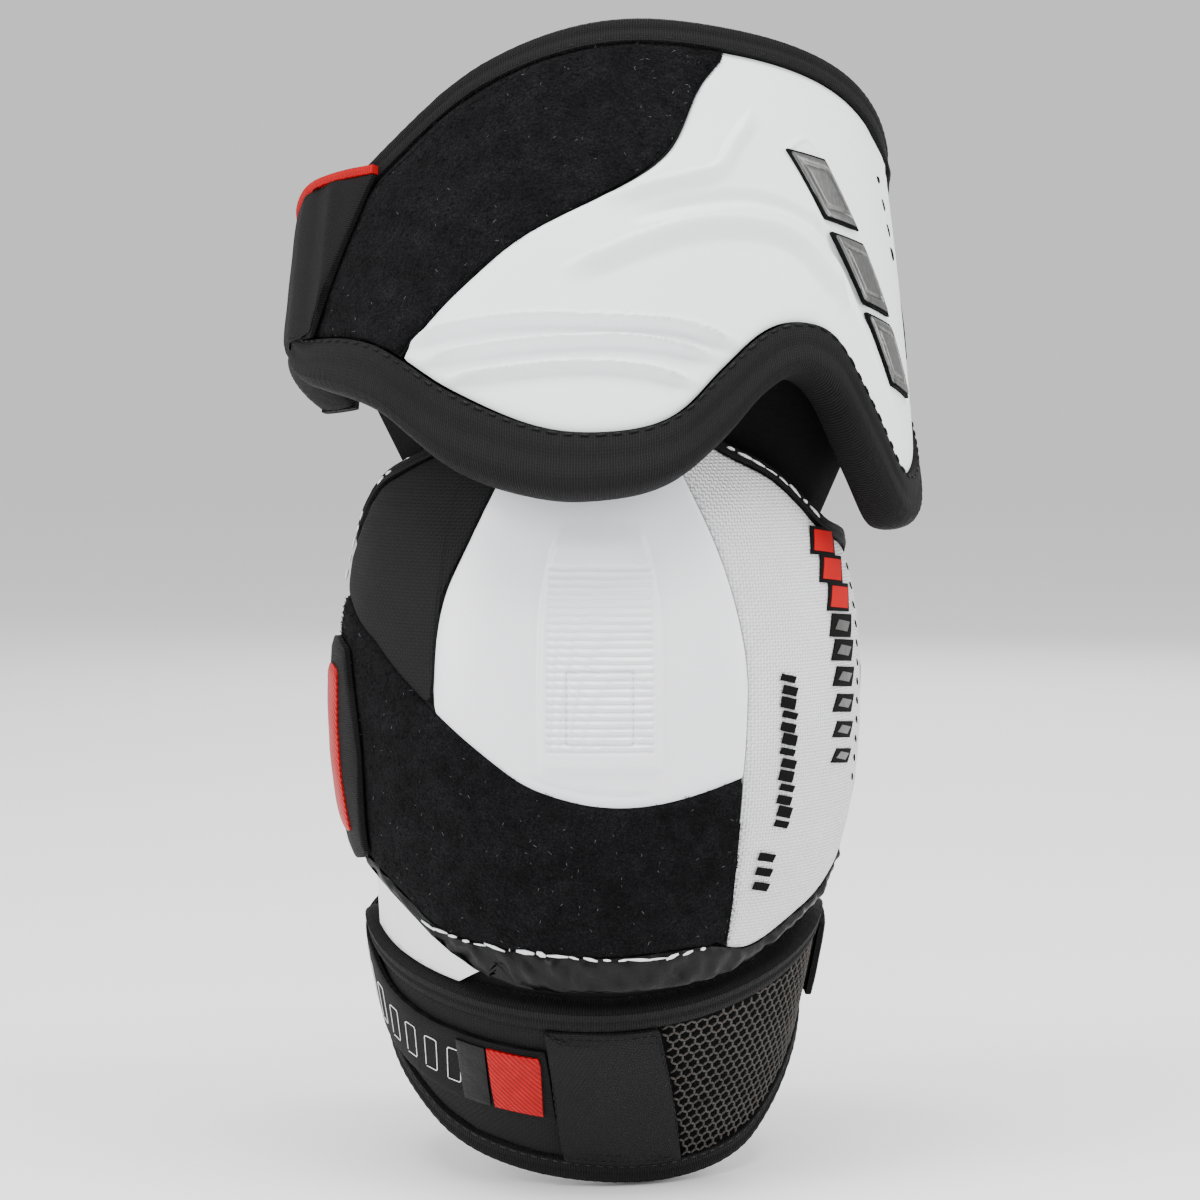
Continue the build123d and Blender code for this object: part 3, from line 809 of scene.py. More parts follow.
def unit_thread():
    """A rounded stitch one unit long along X, flattened on Z."""
    bm = bmesh.new()
    bmesh.ops.create_uvsphere(bm, u_segments=6, v_segments=4, radius=0.5)
    mesh = bpy.data.meshes.new("thread_shape")
    bm.to_mesh(mesh)
    bm.free()
    mesh.polygons.foreach_set("use_smooth", [True] * len(mesh.polygons))
    obj = bpy.data.objects.new("thread_shape", mesh)
    bpy.context.scene.collection.objects.link(obj)
    return obj


THREAD = unit_thread()


def decals(name, section, shapes, proud):
    """Printed parallelograms: each (angle, height, half width, half height, slant)."""
    parts = []
    for a0, h0, half_a, half_h, slant in shapes:
        u, v = np.meshgrid(np.linspace(-1, 1, 9), np.linspace(-1, 1, 7), indexing="ij")
        a = a0 + u * half_a + v * slant
        h = h0 + v * half_h - u * 0.6
        parts.append((a, h, proud + 0.0 * a, -proud + 0.35))
    return joined_slabs(name, section, parts)


def repeated(name, points, along, away, sizes, material):
    """Copies of the stitch shape at points, its X along one direction and Z away from the wall."""
    x = along / np.linalg.norm(along, axis=1)[:, None]
    z = away - x * np.sum(away * x, axis=1)[:, None]
    z /= np.linalg.norm(z, axis=1)[:, None]
    y = np.cross(z, x)
    turn = np.stack([np.arctan2(y[:, 2], z[:, 2]), np.arcsin(np.clip(-x[:, 2], -1, 1)),
                     np.arctan2(x[:, 1], x[:, 0])], -1)
    mesh = bpy.data.meshes.new(name + "_seats")
    mesh.from_pydata(points.tolist(), [], [])
    for key, data in (("turn", turn), ("size", sizes)):
        layer = mesh.attributes.new(key, "FLOAT_VECTOR", "POINT")
        layer.data.foreach_set("vector", np.asarray(data, np.float32).ravel())
    seats = bpy.data.objects.new(name + "_seats", mesh)
    bpy.context.scene.collection.objects.link(seats)
    modifier = seats.modifiers.new("repeat", "NODES")
    modifier.node_group = PLACE
    sockets = {s.name: s.identifier for s in PLACE.interface.items_tree if s.in_out == "INPUT"}
    modifier[sockets["Shape"]] = THREAD
    modifier[sockets["Material"]] = M[material]
    graph = bpy.context.evaluated_depsgraph_get()
    made = bpy.data.meshes.new_from_object(seats.evaluated_get(graph))
    made.name = name
    obj = bpy.data.objects.new(name, made)
    bpy.context.scene.collection.objects.link(obj)
    bpy.data.objects.remove(seats)
    return obj


def stitches(name, section, lines, proud, pitch, length, thick, material, jitter=0.12, cut=-180):
    """Rows of stitches along lines of (angle, height) on a wall."""
    seats, along, away, sizes = [], [], [], []
    for line in lines:
        p = path_points(section, line, proud)
        step = max(1, int(round(pitch / SAMPLE)))
        half = max(1, int(round(length / (2 * SAMPLE))))
        at = np.arange(half, len(p) - half, step)
        if not len(at):
            continue
        a, b = p[at - half], p[np.minimum(at + half, len(p) - 1)]
        seats.append((a + b) / 2)
        along.append(b - a)
        away.append(wall_normals(section, seats[-1], cut))
        long = np.linalg.norm(b - a, axis=1) * (1 + rng.normal(0, jitter, len(at)))
        wide = thick * MM * (1 + rng.normal(0, jitter, len(at)))
        sizes.append(np.stack([long, wide, wide * 0.8], -1))
    seats, along, away, sizes = (np.concatenate(v) for v in (seats, along, away, sizes))
    tilt = rng.normal(0, jitter * 0.35, len(along))[:, None]
    along = along + np.cross(away, along) * tilt
    return repeated(name, seats, along, away, sizes, material)


def fibres(name, section, a, h, proud, material, long, thick, count, seed):
    """Loose curls of pile and lint lying on a wall patch."""
    draw = np.random.default_rng(seed)
    i = draw.uniform(0, a.shape[0] - 1.001, count)
    j = draw.uniform(0, a.shape[1] - 1.001, count)
    i0, j0 = i.astype(int), j.astype(int)
    fi, fj = i - i0, j - j0

    def sample(grid):
        low = grid[i0, j0] * (1 - fi) + grid[i0 + 1, j0] * fi
        high = grid[i0, j0 + 1] * (1 - fi) + grid[i0 + 1, j0 + 1] * fi
        return low * (1 - fj) + high * fj

    aa, hh, pp = sample(a), sample(h), sample(proud * np.ones_like(a))
    p = section.wall(aa, hh, -pp)
    q = section.wall(aa + 0.5, hh, -pp)
    away = section.wall(aa, hh, -pp - 4) - p
    away /= np.linalg.norm(away, axis=1)[:, None]
    side = q - p
    side /= np.linalg.norm(side, axis=1)[:, None]
    upward = np.cross(away, side)
    turn = draw.uniform(0, math.tau, count)[:, None]
    along = side * np.cos(turn) + upward * np.sin(turn) + away * draw.uniform(-0.5, 0.9, count)[:, None]
    length = draw.uniform(0.5, 1.5, count) * long * MM
    width = draw.uniform(0.7, 1.3, count) * thick * MM
    depth = draw.uniform(0.7, 1.3, count) * thick * MM
    size = np.stack([length, width, depth], -1)
    return repeated(name, p, along, away, size, material)


# ---------------------------------------------------------------- bands, liners and foam

def binding(name, section, node, rim, body, ribs):
    """Bound edge of a wall: the tape wraps over the edge from one face to the other."""
    line = Outline(section, node)
    ends = line.angles[0] + 0.3, line.angles[-1] - 0.3
    angles = np.arange(ends[0], ends[1] + 1.0, 1.0)
    angles[-1] = ends[1]
    rim_line, edge_line = line.lower(angles), line.upper(angles)
    if rim == "upper":
        rim_line, edge_line = edge_line, rim_line
    face, back = line.face - 0.3, line.back
    middle, half = (face + back) / 2, (back - face) / 2
    profile = []
    for t in np.linspace(0.97, 0.2, 9):
        swell = 0.9 * math.sin(min(1, (1 - t) / 0.45) * math.pi / 2)
        profile.append((t, face - swell + 0.8 * math.exp(-((t - 0.55) / 0.1) ** 2)))
    for turn in np.linspace(-80, 80, 11):
        r = math.radians(turn)
        profile.append((0.14 - 0.16 * math.cos(r), middle + half * math.sin(r)))
    for t in np.linspace(0.2, 0.97, 6):
        profile.append((t, back))

    def waves(a, share):
        pull = np.sin(np.radians(a) * section.radius * math.tau / 3.1 + 1.3 * np.sin(a * 0.21))
        return ribs * pull * np.clip(1 - share, 0, 1)

    band = tube_band(name, section, angles, rim_line, edge_line, profile, waves)
    dress(band, body, "binding_tape", "tape", node)
    return angles, rim_line, edge_line


def sew(name, section, lines, body, slot, material, proud, pitch, length, thick, **more):
    """Stitches that ride on a body."""
    rows = stitches(name, section, lines, proud, pitch, length, thick, material, **more)
    dress(rows, body, slot, material)


def stitched_binding(label, section, node, rim, body, ribs, share, material, *sizes):
    """A binding with a row of stitches along it, some share of the way from its rim."""
    angles, rim_line, edge_line = binding(label + "_binding", section, node, rim, body, ribs)
    row = np.stack([angles, rim_line + (edge_line - rim_line) * share], -1)
    sew(label + "_stitches", section, [row[2:-2]], body, "binding_tape", material, *sizes)


def padding(name, section, node, body, columns):
    """A foam core."""
    foam, *_ = plain_layer(name, section, node, body, "foam", "foam", columns, 40)


def quilted(width, height, shift=0.0):
    """Puffs between sewn channels, width degrees and height mm apart, facing the arm."""
    def back(a, h, edge):
        columns = np.abs(np.sin(np.radians(a) * width * math.pi / 2))
        rows = np.abs(np.sin((h + shift) * math.pi / height))
        return 0.9 * np.clip(columns * rows, 0, 1) ** 0.4 * np.clip(edge / 6, 0, 1)
    return back


def plain_layer(name, section, node, body, slot, material, columns=70, rows=26, proud=None,
                cut=-180, quilt=None, drop=0.6, reach=1.2, sewn_to=None, blown=None):
    """A node's own outline as a smoother layer, with a gently uneven outer face."""
    line = Outline(section, node, cut)
    if sewn_to:
        line.between(*(Outline(section, other) for other in sewn_to))
    a, h, edge = line.grid(columns, rows)
    top = -line.face + ripple(a, h, 22, 0.12, 3) + tucked(edge, reach, drop)
    if proud is not None:
        top = top + proud(a, h, edge)
    back = line.back
    if quilt is not None:
        back = back + quilt(a, h, edge)
    piece = slab(name, section, a, h, top, back)
    if blown:
        side, pressure, cap = blown
        free = (edge > 2.5).ravel()
        still = np.zeros(free.size, bool)
        moving = np.concatenate([free, still] if side == "outer" else [still, free])
        puff(piece, ~moving, pressure, cap)
    dress(piece, body, slot, material, node)
    return piece, line, a, h, top


def end_bands(name, section, node, body):
    """The two bound ends of a wall, each a rounded band up and down it."""
    points, faces, uvs = [], [], []
    for island in (0, 1):
        line = Outline(section, node, island=island)
        heights = np.linspace(line.heights[0] + 0.4, line.heights[-1] - 0.4, 60)
        start, stop = (float(np.median(v)) for v in (line.left, line.right))
        free, sewn = (start, stop) if start < 0 else (stop, start)
        middle, half = (line.face + line.back) / 2, (line.back - line.face) / 2
        ring = [(sewn + (free - sewn) * t, middle - half) for t in (0, 0.25, 0.5)]
        for turn in np.linspace(-90, 90, 9):
            r = math.radians(turn)
            ring.append((free - (free - sewn) * 0.35 * (1 - math.cos(r)), middle + half * math.sin(r)))
        ring += [(sewn + (free - sewn) * t, middle + half) for t in (0.5, 0.25, 0)]
        a = np.array([p[0] for p in ring])[None, :] * np.ones((60, 1))
        d = np.array([p[1] for p in ring])[None, :] * np.ones((60, 1))
        first = len(points) * 60 * len(ring)
        p = section.wall(a, heights[:, None] * np.ones_like(a), d)
        points.append(p.reshape(-1, 3))
        n = len(ring)
        for i in range(59):
            for j in range(n):
                k = (j + 1) % n
                here, onward = first + i * n, first + (i + 1) * n
                faces.append([here + j, onward + j, onward + k, here + k])
        faces.append([first + j for j in range(n)])
        faces.append([first + 59 * n + j for j in range(n)])
        run = heights[:, None] * np.ones_like(a)
        round_it = np.arange(n)[None, :] * 2.0 * np.ones_like(a)
        uvs.append(np.stack([run, round_it], -1).reshape(-1, 2))
    piece = outward(new_object(name, np.concatenate(points), faces, np.concatenate(uvs)))
    return dress(piece, body, "binding_tape", "tape", node)


def refined_copy(name, node, longest):
    """A copy of a CAD piece with no edge much longer than a limit, so that it can bend."""
    source = frame["nodes"][node]
    mesh = bpy.data.meshes.new_from_object(source)
    obj = bpy.data.objects.new(name, mesh)
    bpy.context.scene.collection.objects.link(obj)
    obj.matrix_world = source.matrix_world
    mesh.transform(obj.matrix_world)
    obj.matrix_world.identity()
    bm = bmesh.new()
    bm.from_mesh(mesh)
    bmesh.ops.remove_doubles(bm, verts=bm.verts, dist=1e-6)
    for _ in range(4):
        long = [e for e in bm.edges if e.calc_length() > longest]
        if not long:
            break
        bmesh.ops.subdivide_edges(bm, edges=long, cuts=1)
        bmesh.ops.triangulate(bm, faces=bm.faces)
    bm.to_mesh(mesh)
    bm.free()
    return outward(obj)


def crossing(name, node, material):
    """A fabric between two sections, from one height to another."""
    piece = refined_copy(name, node, 0.004)
    piece.data.materials.clear()
    piece.data.materials.append(M[material])
    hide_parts(node)
    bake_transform(piece)
    return piece


# ---------------------------------------------------------------- bicep guard

GUARD, ELBOW, CUFF = "bicep guard", "elbow", "forearm cuff"

EMBOSSES = [
    ([(0, 124), (11, 130), (19, 134), (22, 137), (25, 145), (30, 155)], 1.5, 1.3, 5.0),
    ([(-7, 103), (0, 108), (7, 113), (18, 119), (30, 121), (39, 118), (46, 110), (51, 102)],
     2.0, 1.3, 7.0),
    ([(5, 118), (18, 124), (30, 127), (42, 124), (50, 115), (58, 98)], -0.9, 4.0, 2.5),
    ([(-36, 86), (-27, 89), (-14, 90), (0, 89), (14, 88), (26, 83)], 2.1, 1.6, 3.4),
    ([(-33, 80), (-21, 82), (-7, 83), (7, 83), (22, 79)], 2.0, 1.6, 3.2),
    ([(-28, 74), (-17, 75), (-5, 76), (7, 75), (17, 71)], 1.8, 1.6, 3.0),
]
BADGE_EDGE = [
    (37, 145), (44, 149), (54, 128), (66, 104), (76, 84), (66, 78), (56, 96), (46, 122), (37, 145),
]


def shell_relief(a, h, edge):
    """The moulded lines, the badge's raised frame and the sewn edge of the guard's shell."""
    total = np.zeros_like(a)
    for points, height, above, below in EMBOSSES:
        total = total + ridge(guard, a, h, points, height * 1.75, above, below)
    total = total + ridge(guard, a, h, BADGE_EDGE, 0.5, 1.5, 1.5, taper=0)
    return total + tucked(edge, 1.6, 0.9)


def make_guard():
    """The upper-arm guard: its moulded shell, loop panel, edges, padding and badge."""
    line = Outline(guard, "guard_moulded_shell")
    line.between(Outline(guard, "guard_bottom_binding"), Outline(guard, "guard_top_binding"))
    a, h, edge = line.grid(300, 170, fade=2)
    top = shell_relief(a, h, edge) - line.face + 0.1
    shell = slab("moulded_shell", guard, a, h, top, line.back)
    dress(shell, GUARD, "white_shell", "shell", "guard_moulded_shell")

    def pile(a, h, edge):
        return 0.9 + ripple(a, h, 12, 0.1, 5)
    loop_fabric("guard", guard, "guard_loop_panel", GUARD, 150, 90, pile, 1.5, (5200, 110), 11)

    stitched_binding("guard_lower", guard, "guard_bottom_binding", "lower", GUARD, 0.12, 0.93,
                     "black_thread", 1.35, 4.4, 3.2, 0.75)
    stitched_binding("guard_upper", guard, "guard_top_binding", "upper", GUARD, 0.08, 0.86,
                     "black_thread", 1.2, 4.0, 2.8, 0.6)
    end_bands("guard_end_bands", guard, "guard_end_bindings", GUARD)
    padding("guard_padding", guard, "guard_foam", GUARD, 90)
    plain_layer("guard_lining", guard, "guard_liner", GUARD, "liner_fabric", "liner", 120, 56,
                quilt=quilted(78 / 24, 26), blown=("inner", 2.0, 1.5))

    points, edges = mesh_arrays(frame["nodes"]["guard_emblem_bars"])
    count = int(islands(points, edges).max()) + 1
    outlines = [Outline(guard, "guard_emblem_bars", island=k) for k in range(count)]
    bars, plates = [], []
    for line in outlines:
        a, h, edge = line.grid(26, 40)
        groove = np.exp(-((edge - 2.7) / 0.45) ** 2) * 0.7
        top = -line.face - 0.15 + 0.3 * np.clip(edge / 0.9, 0, 1) - groove
        bars.append((a, h, top, line.back))
        grow = 1.12
        ca, ch = a.mean(), h.mean()
        wider, taller = ca + (a - ca) * grow, ch + (h - ch) * (grow - 0.03)
        plates.append((wider, taller, -line.face - 0.55 + a * 0, line.back))
    dress(joined_slabs("guard_badge_bars", guard, bars), GUARD, "metal_trim", "metal",
          "guard_emblem_bars")
    dress(joined_slabs("guard_badge_plates", guard, plates), GUARD, "black_vinyl", "black_print")

    # Small vents beside the badge.
    vents = []
    for a0, h0 in [(70, 148), (72, 141), (74, 134), (75, 127)]:
        vents.append(np.array([(a0 - 1.5, h0 + 2.4), (a0 + 1.5, h0 - 2.4)], float))
    sew("guard_vent_marks", guard, vents, GUARD, "white_shell", "black_print", 0.2, 8, 5.0, 0.9,
        jitter=0.25)


def loop_fabric(label, section, node, body, columns, rows, pile, reach, counts, seed):
    """A loop panel with its matted pile and a little lint."""
    _, _, a, h, top = plain_layer(label + "_loop", section, node, body, "loop_fabric", "loop",
                                  columns, rows, pile, reach=reach, drop=1.1)
    curls = fibres(label + "_loop_pile", section, a, h, top - 0.1, "loop", 2.6, 0.22, counts[0], seed)
    dress(curls, body, "loop_fabric", "loop")
    lint = fibres(label + "_loop_lint", section, a, h, top + 0.1, "white_thread", 1.1, 0.07,
                  counts[1], seed + 1)
    dress(lint, body, "loop_fabric", "dust")


def joined_slabs(name, section, parts):
    """Several closed layers as one piece."""
    made = [slab(name, section, *part) for part in parts]
    return join(name, made)


def join(name, made):
    """Joins objects into one and removes the originals."""
    bm = bmesh.new()
    for obj in made:
        bm.from_mesh(obj.data)
    mesh = bpy.data.meshes.new(name)
    bm.to_mesh(mesh)
    bm.free()
    obj = bpy.data.objects.new(name, mesh)
    bpy.context.scene.collection.objects.link(obj)
    for old in made:
        bpy.data.objects.remove(old)
    mesh.set_sharp_from_angle(angle=math.radians(50))
    return obj


# ---------------------------------------------------------------- elbow section

def within(distance, fade):
    """0 outside an edge, rising to 1 over a short way inside it."""
    return np.clip(distance / fade, 0, 1)


def cap_relief(a, h, edge):
    """Raised arch with a framed field of fine ribs, and a groove under it."""
    aside = np.abs(a)
    half = 13.5 - within(h - 20, 42) ** 2 * 6
    inside = within(half - aside, 2.0) * within(52 - h, 8) * within(h + 17, 2.5)
    arch = 1.1 * inside * inside * (3 - 2 * inside)
    field = within(11.5 - aside, 0.8) * within(41 - h, 1.5) * within(h + 12, 1.2)
    ribs = -0.8 * field * (0.5 + 0.5 * np.sin(h * math.tau / 2.15))
    inner = within(7.2 - aside, 0.7) * within(12 - h, 0.9) * within(h + 9, 0.9)
    frame_line = -0.6 * 4 * inner * (1 - inner)
    groove = ridge(elbow, a, h, [(-16, -17), (-8, -20), (0, -22), (12, -22.5)], -0.6, 1.4, 1.4)
    return arch + ribs + frame_line + groove + tucked(edge, 1.2, 0.7)


def puffed(height, reach=9.0):
    """An outer face that swells away from its sewn edge."""
    def top(a, h, edge):
        return height * (1 - np.exp(-edge / reach)) + 0.1
    return top


def make_elbow():
    """The elbow section: cap, fabric panels, edges, printed marks, padding and lining."""
    line = Outline(elbow, "elbow_cap")
    a, h, edge = line.grid(200, 200)
    cap = slab("elbow_cap_plate", elbow, a, h, cap_relief(a, h, edge) - line.face + 0.15, line.back)
    dress(cap, ELBOW, "white_cap", "cap", "elbow_cap")

    plain_layer("elbow_side", elbow, "elbow_side_panel", ELBOW, "white_weave", "white_weave",
                110, 90, puffed(0.9), sewn_to=("elbow_edge_strip", "elbow_top_binding"),
                blown=("outer", 3.0, 1.2))
    plain_layer("elbow_weave", elbow, "elbow_woven_panel", ELBOW, "black_weave", "black_weave",
                120, 100, puffed(0.8))

    def pile(a, h, edge):
        return 0.9 + ripple(a, h, 14, 0.12, 9)
    loop_fabric("elbow", elbow, "elbow_loop_band", ELBOW, 220, 90, pile, 1.2, (6500, 150), 21)
    binding("elbow_upper_binding", elbow, "elbow_top_binding", "upper", ELBOW, 0.05)
    plain_layer("elbow_vinyl_edge", elbow, "elbow_edge_strip", ELBOW, "black_vinyl", "vinyl", 240, 24,
                lambda a, h, edge: 0.5 + ripple(a, h, 7, 0.45, 14), drop=0.9)
    end_bands("elbow_end_bands", elbow, "elbow_end_bindings", ELBOW)

    seam_angles = np.linspace(-50, 30, 120)
    seam_heights = np.interp(seam_angles, [-50, -35, 0, 16, 32], [-62, -66, -69.2, -69.2, -66])
    white = [
        np.stack([seam_angles, seam_heights], -1),
        smooth_line([(-64, 69), (-76, 63), (-84, 56), (-88, 44), (-87, 30)], 20),
        smooth_line([(38, 72.5), (50, 65), (60, 55.5), (66, 50)], 20),
    ]
    sew("elbow_white_stitches", elbow, white, ELBOW, "white_weave", "white_thread", 1.6, 4.6, 5.2,
        0.95, jitter=0.35)
    seam = Outline(elbow, "elbow_side_panel")
    heights = np.linspace(seam.heights[0] + 3, seam.heights[-1] - 3, 160)
    rows = np.stack([np.interp(heights, seam.heights, seam.left) + 1.1, heights], -1)
    sew("side_seam_stitches", elbow, [rows], ELBOW, "white_weave", "white_thread", 0.75, 3.0, 2.2,
        0.32)

    # Printed marks on the side panel: plain blocks and ticks.
    ticks = [(43.2 + (k % 2) * 0.5, 8 - k * 3.4, 2.1, 0.9 + 0.3 * (k % 3), 0.35) for k in range(13)]
    ticks += [(40.2, -42 - k * 4.2, 2.4, 1.1, 0.35) for k in range(3)]
    dress(decals("side_size_marks", elbow, ticks, 1.42), ELBOW, "white_weave", "black_print")
    edges, reds, darks = [], [], []
    for k, h0 in enumerate((45, 37, 29)):
        centre = 60 + (60 - h0) * 0.2
        edges.append((centre, h0, 6.2, 3.9, 1.4))
        reds.append((centre + 0.2, h0, 5.0, 2.9, 1.2))
    for k, h0 in enumerate((21, 14, 6.5, -1, -8.5, -16)):
        centre = 66 - abs(h0 - 8) * 0.03
        darks.append((centre, h0, 6.0 - 0.25 * k, 3.2 - 0.25 * k, 1.2))
    dress(decals("side_block_edges", elbow, edges, 1.42), ELBOW, "white_weave", "black_print")
    dress(decals("side_red_blocks", elbow, reds, 1.55), ELBOW, "red_print", "red_ink")
    dress(decals("side_dark_blocks", elbow, darks, 1.42), ELBOW, "white_weave", "black_print")
    inner = [(a, h, w * 0.55, t * 0.4, s) for a, h, w, t, s in darks]
    dress(decals("side_block_centres", elbow, inner, 1.55), ELBOW, "white_weave", "metal")
    dots = [(78 - 0.2 * k, 48 - 5.5 * k, 0.5, 0.5, 0) for k in range(14)]
    dress(decals("side_pin_dots", elbow, dots, 1.42), ELBOW, "white_weave", "black_print")

    for side in ("centre", "left", "right"):
        padding(side + "_padding", elbow, "elbow_" + side + "_foam", ELBOW, 60)
    plain_layer("elbow_lining", elbow, "elbow_liner", ELBOW, "liner_fabric", "liner", 120, 70,
                quilt=quilted(68 / 26, 30, 5), blown=("inner", 2.0, 1.5))

    low, high = (np.array(c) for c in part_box("elbow_donut_pad"))
    centre, half = (low + high) / 2, (high - low) / 2
    points, faces = [], []
    around, ring = 72, 20
    for i in range(around):
        t = math.tau * i / around
        for j in range(ring):
            r = math.tau * j / ring
            reach = 0.74 + 0.25 * math.cos(r)
            swing = np.array([reach * math.cos(t), 0.96 * math.sin(r), reach * math.sin(t)])
            points.append(centre + half * swing)
    for i in range(around):
        for j in range(ring):
            p, q = (i + 1) % around, (j + 1) % ring
            faces.append([i * ring + j, p * ring + j, p * ring + q, i * ring + q])
    uv = [(i * 2.0, j * 1.5) for i in range(around) for j in range(ring)]
    pad = outward(new_object("elbow_ring_pad", points, faces, uv))
    dress(pad, ELBOW, "soft_foam", "liner", "elbow_donut_pad")


# ---------------------------------------------------------------- forearm cuff

def make_cuff():
    """The forearm cuff: panels, net, elastic band, edges, front strap and labels."""
    plain_layer("cuff_left", cuff, "cuff_left_panel", CUFF, "black_weave", "black_weave", 120, 60,
                puffed(0.5))
    padding("cuff_padding", cuff, "cuff_foam", CUFF, 90)

    def channels(a, h, edge):
        return 0.5 * within(edge, 5) * np.abs(np.sin(h * math.pi / 20))
    plain_layer("cuff_lining", cuff, "cuff_liner", CUFF, "liner_fabric", "liner", 120, 50,
                quilt=channels)
    line = Outline(cuff, "cuff_mesh_panel")
    a, h, edge = line.grid(90, 70)
    ground = slab("cuff_mesh_ground", cuff, a, h, -line.face - 1.1 + a * 0, line.back)
    dress(ground, CUFF, "open_mesh", "dull_vinyl", "cuff_mesh_panel")
    netting(line)

    def rib(a, h, edge):
        return 0.25 + 0.2 * (1 - np.exp(-edge / 2)) + ripple(a, h, 30, 0.08, 4)
    _, _, a, h, top = plain_layer("cuff_elastic", cuff, "cuff_elastic_band", CUFF, "elastic",
                                  "twill", 60, 90, rib, drop=0.4)
    rows = []
    for share in (0.035, 0.085, 0.93, 0.97):
        j = share * (a.shape[1] - 1)
        j0 = int(j)
        rows.append(np.stack([a[2:-2, j0], h[2:-2, j0]], -1))
    sew("cuff_elastic_stitches", cuff, rows, CUFF, "elastic", "black_thread",
        float(top.mean()) + 0.05, 2.6, 1.9, 0.4)

    stitched_binding("cuff_lower", cuff, "cuff_bottom_binding", "lower", CUFF, 0.1, 0.9,
                     "grey_thread", 1.25, 3.2, 2.2, 0.42)
    stitched_binding("cuff_upper", cuff, "cuff_top_binding", "upper", CUFF, 0.1, 0.88,
                     "black_thread", 1.2, 3.4, 2.4, 0.45)
    end_bands("cuff_end_bands", cuff, "cuff_end_bindings", CUFF)

    def web(a, h, edge):
        return 0.15 + ripple(a, h, 40, 0.1, 6)
    _, line, *_ = plain_layer("cuff_front_strap", cuff, "cuff_fixed_strap", CUFF, "elastic",
                              "elastic", 130, 30, web, cut=0, drop=0.5)
    # Open outlined shapes printed along the strap.
    outlines = []
    for centre in np.linspace(273, 322, 7):
        low = np.interp(centre, line.angles, line.low) + 6.5
        high = np.interp(centre, line.angles, line.high) - 6.5
        w = 2.9
        foot, head = (centre - w, centre + w * 0.5), (centre + w, centre - w * 0.5)
        loop = [(foot[0], low), (foot[1], low), (head[0], high), (head[1], high), (foot[0], low)]
        outlines.append(np.array(loop, float))
    sew("cuff_strap_outlines", cuff, outlines, CUFF, "elastic", "white_print",
        float(-line.face) + 0.35, 0.8, 1.2, 0.32, jitter=0.02, cut=0)
    plain_layer("cuff_red_label", cuff, "cuff_red_patch", CUFF, "red_print", "red_print", 40, 36,
                lambda a, h, edge: 0.1 + a * 0, cut=0, drop=0.3)
    plain_layer("cuff_vinyl_label", cuff, "cuff_vinyl_patch", CUFF, "black_vinyl", "vinyl", 30, 36,
                lambda a, h, edge: 0.1 + a * 0, cut=0, drop=0.3)


def netting(line):
    """Hexagonal net over the cuff's side, as threads laid between neighbouring knots."""
    pitch_a, pitch_h = 3.1, 2.7
    a0, a1 = float(line.angles[0]) + 0.6, float(line.angles[-1]) - 0.6
    starts, ends = [], []
    for j, h in enumerate(np.arange(line.heights[0], line.heights[-1], pitch_h)):
        for a in np.arange(a0, a1, pitch_a) + (pitch_a / 2 if j % 2 else 0):
            knot = np.array([a, h])
            tips = [(pitch_a / 2, pitch_h * 0.36), (-pitch_a / 2, pitch_h * 0.36), (0, -pitch_h * 0.64)]
            for da, dh in tips:
                starts.append(knot)
                ends.append(knot + (da, dh))
    s, e = np.array(starts), np.array(ends)
    mid = (s + e) / 2
    ok = (mid[:, 1] > line.lower(mid[:, 0]) + 0.5) & (mid[:, 1] < line.upper(mid[:, 0]) - 0.5)
    ok &= (mid[:, 0] > np.interp(mid[:, 1], line.heights, line.left) + 0.6)
    ok &= (mid[:, 0] < np.interp(mid[:, 1], line.heights, line.right) - 0.6)
    s, e = s[ok], e[ok]
    p, q = cuff.wall(s[:, 0], s[:, 1], line.face - 0.3), cuff.wall(e[:, 0], e[:, 1], line.face - 0.3)
    away = wall_normals(cuff, (p + q) / 2)
    long = np.linalg.norm(q - p, axis=1) * 1.35
    size = np.stack([long, np.full(len(long), 0.85 * MM), np.full(len(long), 0.7 * MM)], -1)
    net = repeated("cuff_mesh_net", (p + q) / 2, q - p, away, size, "mesh")
    dress(net, CUFF, "open_mesh", "mesh")


# ---------------------------------------------------------------- straps

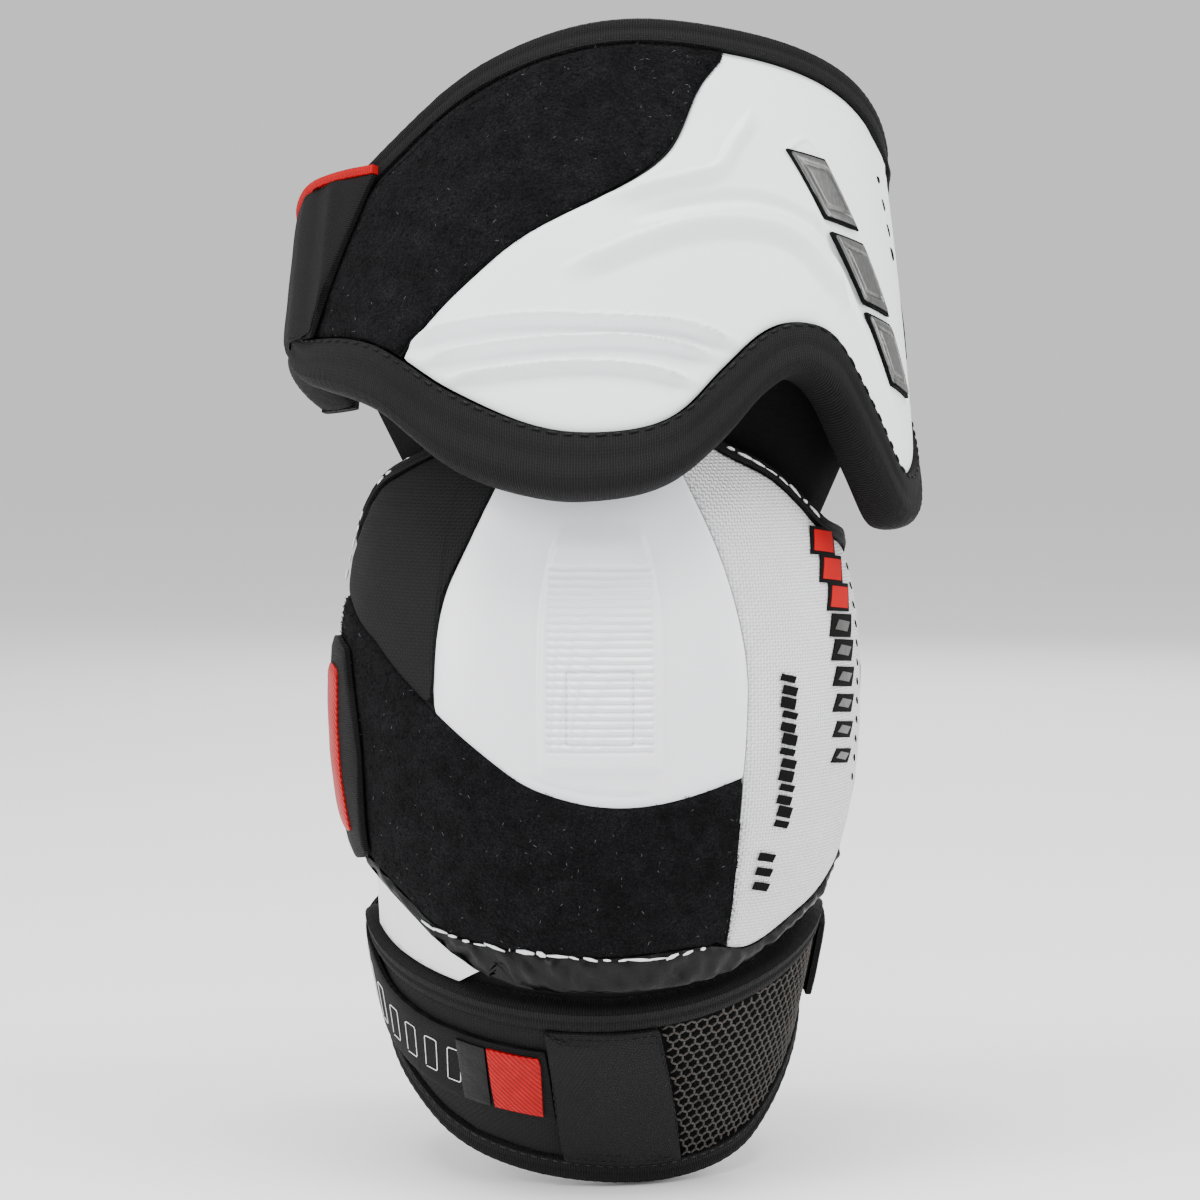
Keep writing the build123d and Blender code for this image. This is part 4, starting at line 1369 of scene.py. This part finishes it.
def make_straps():
    """The three straps with their hook ends, trims and anchors."""
    def web(a, h, edge):
        return 0.15 + ripple(a, h, 45, 0.12, 8)

    def strap(name, section, node, body, slot="elastic", material="elastic", columns=140,
              proud=web):
        plain_layer(name, section, node, body, slot, material, columns, 30, proud, cut=0, drop=0.5)

    def tab(a, h, edge):
        """Proud end ridge, a valley, then the flat face."""
        ridge_line = 0.9 * np.exp(-((a - 303) / 2.4) ** 2)
        valley = 0.5 * np.exp(-((a - 296) / 3) ** 2)
        return 0.15 + ridge_line - valley + 0.4 * np.exp(-((a - 288) / 3) ** 2)
    strap("bicep_strap_web", guard, "guard_strap", "bicep strap", columns=220, proud=tab)
    strap("bicep_strap_hooks", guard, "guard_strap_hook", "bicep strap", "hook_tape", "hook", columns=40)
    strap("bicep_strap_red_trim", guard, "guard_strap_red_edge", "bicep strap", "red_tape",
          "red_tape", columns=80)
    strap("bicep_strap_anchor", guard, "guard_strap_anchor", GUARD)
    strap("elbow_strap_web", elbow, "elbow_strap", "elbow strap", columns=200)
    strap("elbow_strap_hooks", elbow, "elbow_strap_hook", "elbow strap", "hook_tape", "hook", columns=40)
    strap("elbow_strap_anchor_web", elbow, "elbow_strap_anchor", ELBOW)
    strap("elbow_strap_label", elbow, "elbow_strap_badge", "elbow strap", "red_print",
          "red_print", columns=40)
    strap("forearm_strap_web", cuff, "cuff_strap", CUFF, columns=180)
    strap("forearm_strap_hooks", cuff, "cuff_strap_hook", CUFF, "hook_tape", "hook", columns=40)


# ---------------------------------------------------------------- fabric between the sections

def make_gussets():
    """The stretch panels and the lining that join the three sections."""
    crossing("upper_stretch_panel", "upper_gusset", "gusset")
    for name, node, slot, material in (
        ("lower_stretch_panel", "lower_gusset", "stretch_knit", "gusset"),
        ("white_lining_panel", "white_lining", "white_lining", "satin"),
    ):
        crossing(name, node, material)


make_guard()
make_elbow()
make_cuff()
make_straps()
make_gussets()
for cad_node, finish in (("elbow_hard_cup", "hard"), ("cuff_stays", "hard")):
    mesh = frame["nodes"][cad_node].data
    mesh.materials.clear()
    mesh.materials.append(M[finish])
bpy.data.objects.remove(THREAD)


# ---------------------------------------------------------------- camera and stage

low, high = (np.array(corner) for corner in cad_box)
middle = (low + high) / 2
aim = Vector((0.0, 0.0, float(middle[2]) + 0.002))
rise = math.radians(4)
away = 0.85
camera = bpy.data.cameras.new("camera")
camera.lens = 87.1
camera.sensor_width = 36
camera.clip_end = 20
eye = bpy.data.objects.new("camera", camera)
bpy.context.scene.collection.objects.link(eye)
eye.location = aim + Vector((0, -math.cos(rise), math.sin(rise))) * away
eye.rotation_euler = (aim - eye.location).to_track_quat("-Z", "Y").to_euler()
bpy.context.scene.camera = eye

FLOOR = 6       # half the floor's width in metres
corners = [(x * FLOOR, y * FLOOR, low[2]) for x, y in ((-1, -1), (1, -1), (1, 1), (-1, 1))]
floor = new_object("floor", corners, [[0, 1, 2, 3]])
pale = moulded("pale_floor", (0.93, 0.93, 0.93), (0.95, 0.95, 0.95), 0.8, 60, 0.0001)
floor.data.materials.append(pale)

world = bpy.data.worlds.new("studio")
world.use_nodes = True
sky = world.node_tree
sky.nodes["Background"].inputs["Color"].default_value = (1, 1, 1, 1)
sky.nodes["Background"].inputs["Strength"].default_value = 0.85
bright = node(sky, "ShaderNodeBackground", {"Color": (1, 1, 1, 1), "Strength": 0.81})
seen = node(sky, "ShaderNodeLightPath").outputs["Is Camera Ray"]
both = sky.nodes.new("ShaderNodeMixShader")
sky.links.new(seen, both.inputs[0])
sky.links.new(sky.nodes["Background"].outputs[0], both.inputs[1])
sky.links.new(bright.outputs[0], both.inputs[2])
sky.links.new(both.outputs[0], sky.nodes["World Output"].inputs["Surface"])
bpy.context.scene.world = world


def soft_light(name, place, size, power):
    """A rectangular lamp aimed at the pad."""
    lamp = bpy.data.lights.new(name, "AREA")
    lamp.shape = "RECTANGLE"
    lamp.size, lamp.size_y = size
    lamp.energy = power
    obj = bpy.data.objects.new(name, lamp)
    bpy.context.scene.collection.objects.link(obj)
    obj.location = place
    obj.rotation_euler = (aim - Vector(place)).to_track_quat("-Z", "Y").to_euler()


soft_light("left_softbox", (-1.3, -0.7, 0.6), (0.4, 1.3), 21)
soft_light("right_softbox", (1.3, -0.5, 0.6), (0.4, 1.3), 15)
soft_light("overhead_softbox", (0.0, -0.45, 1.4), (1.2, 0.5), 32)
soft_light("back_softbox", (0.3, 1.5, 0.8), (1.0, 1.0), 10)
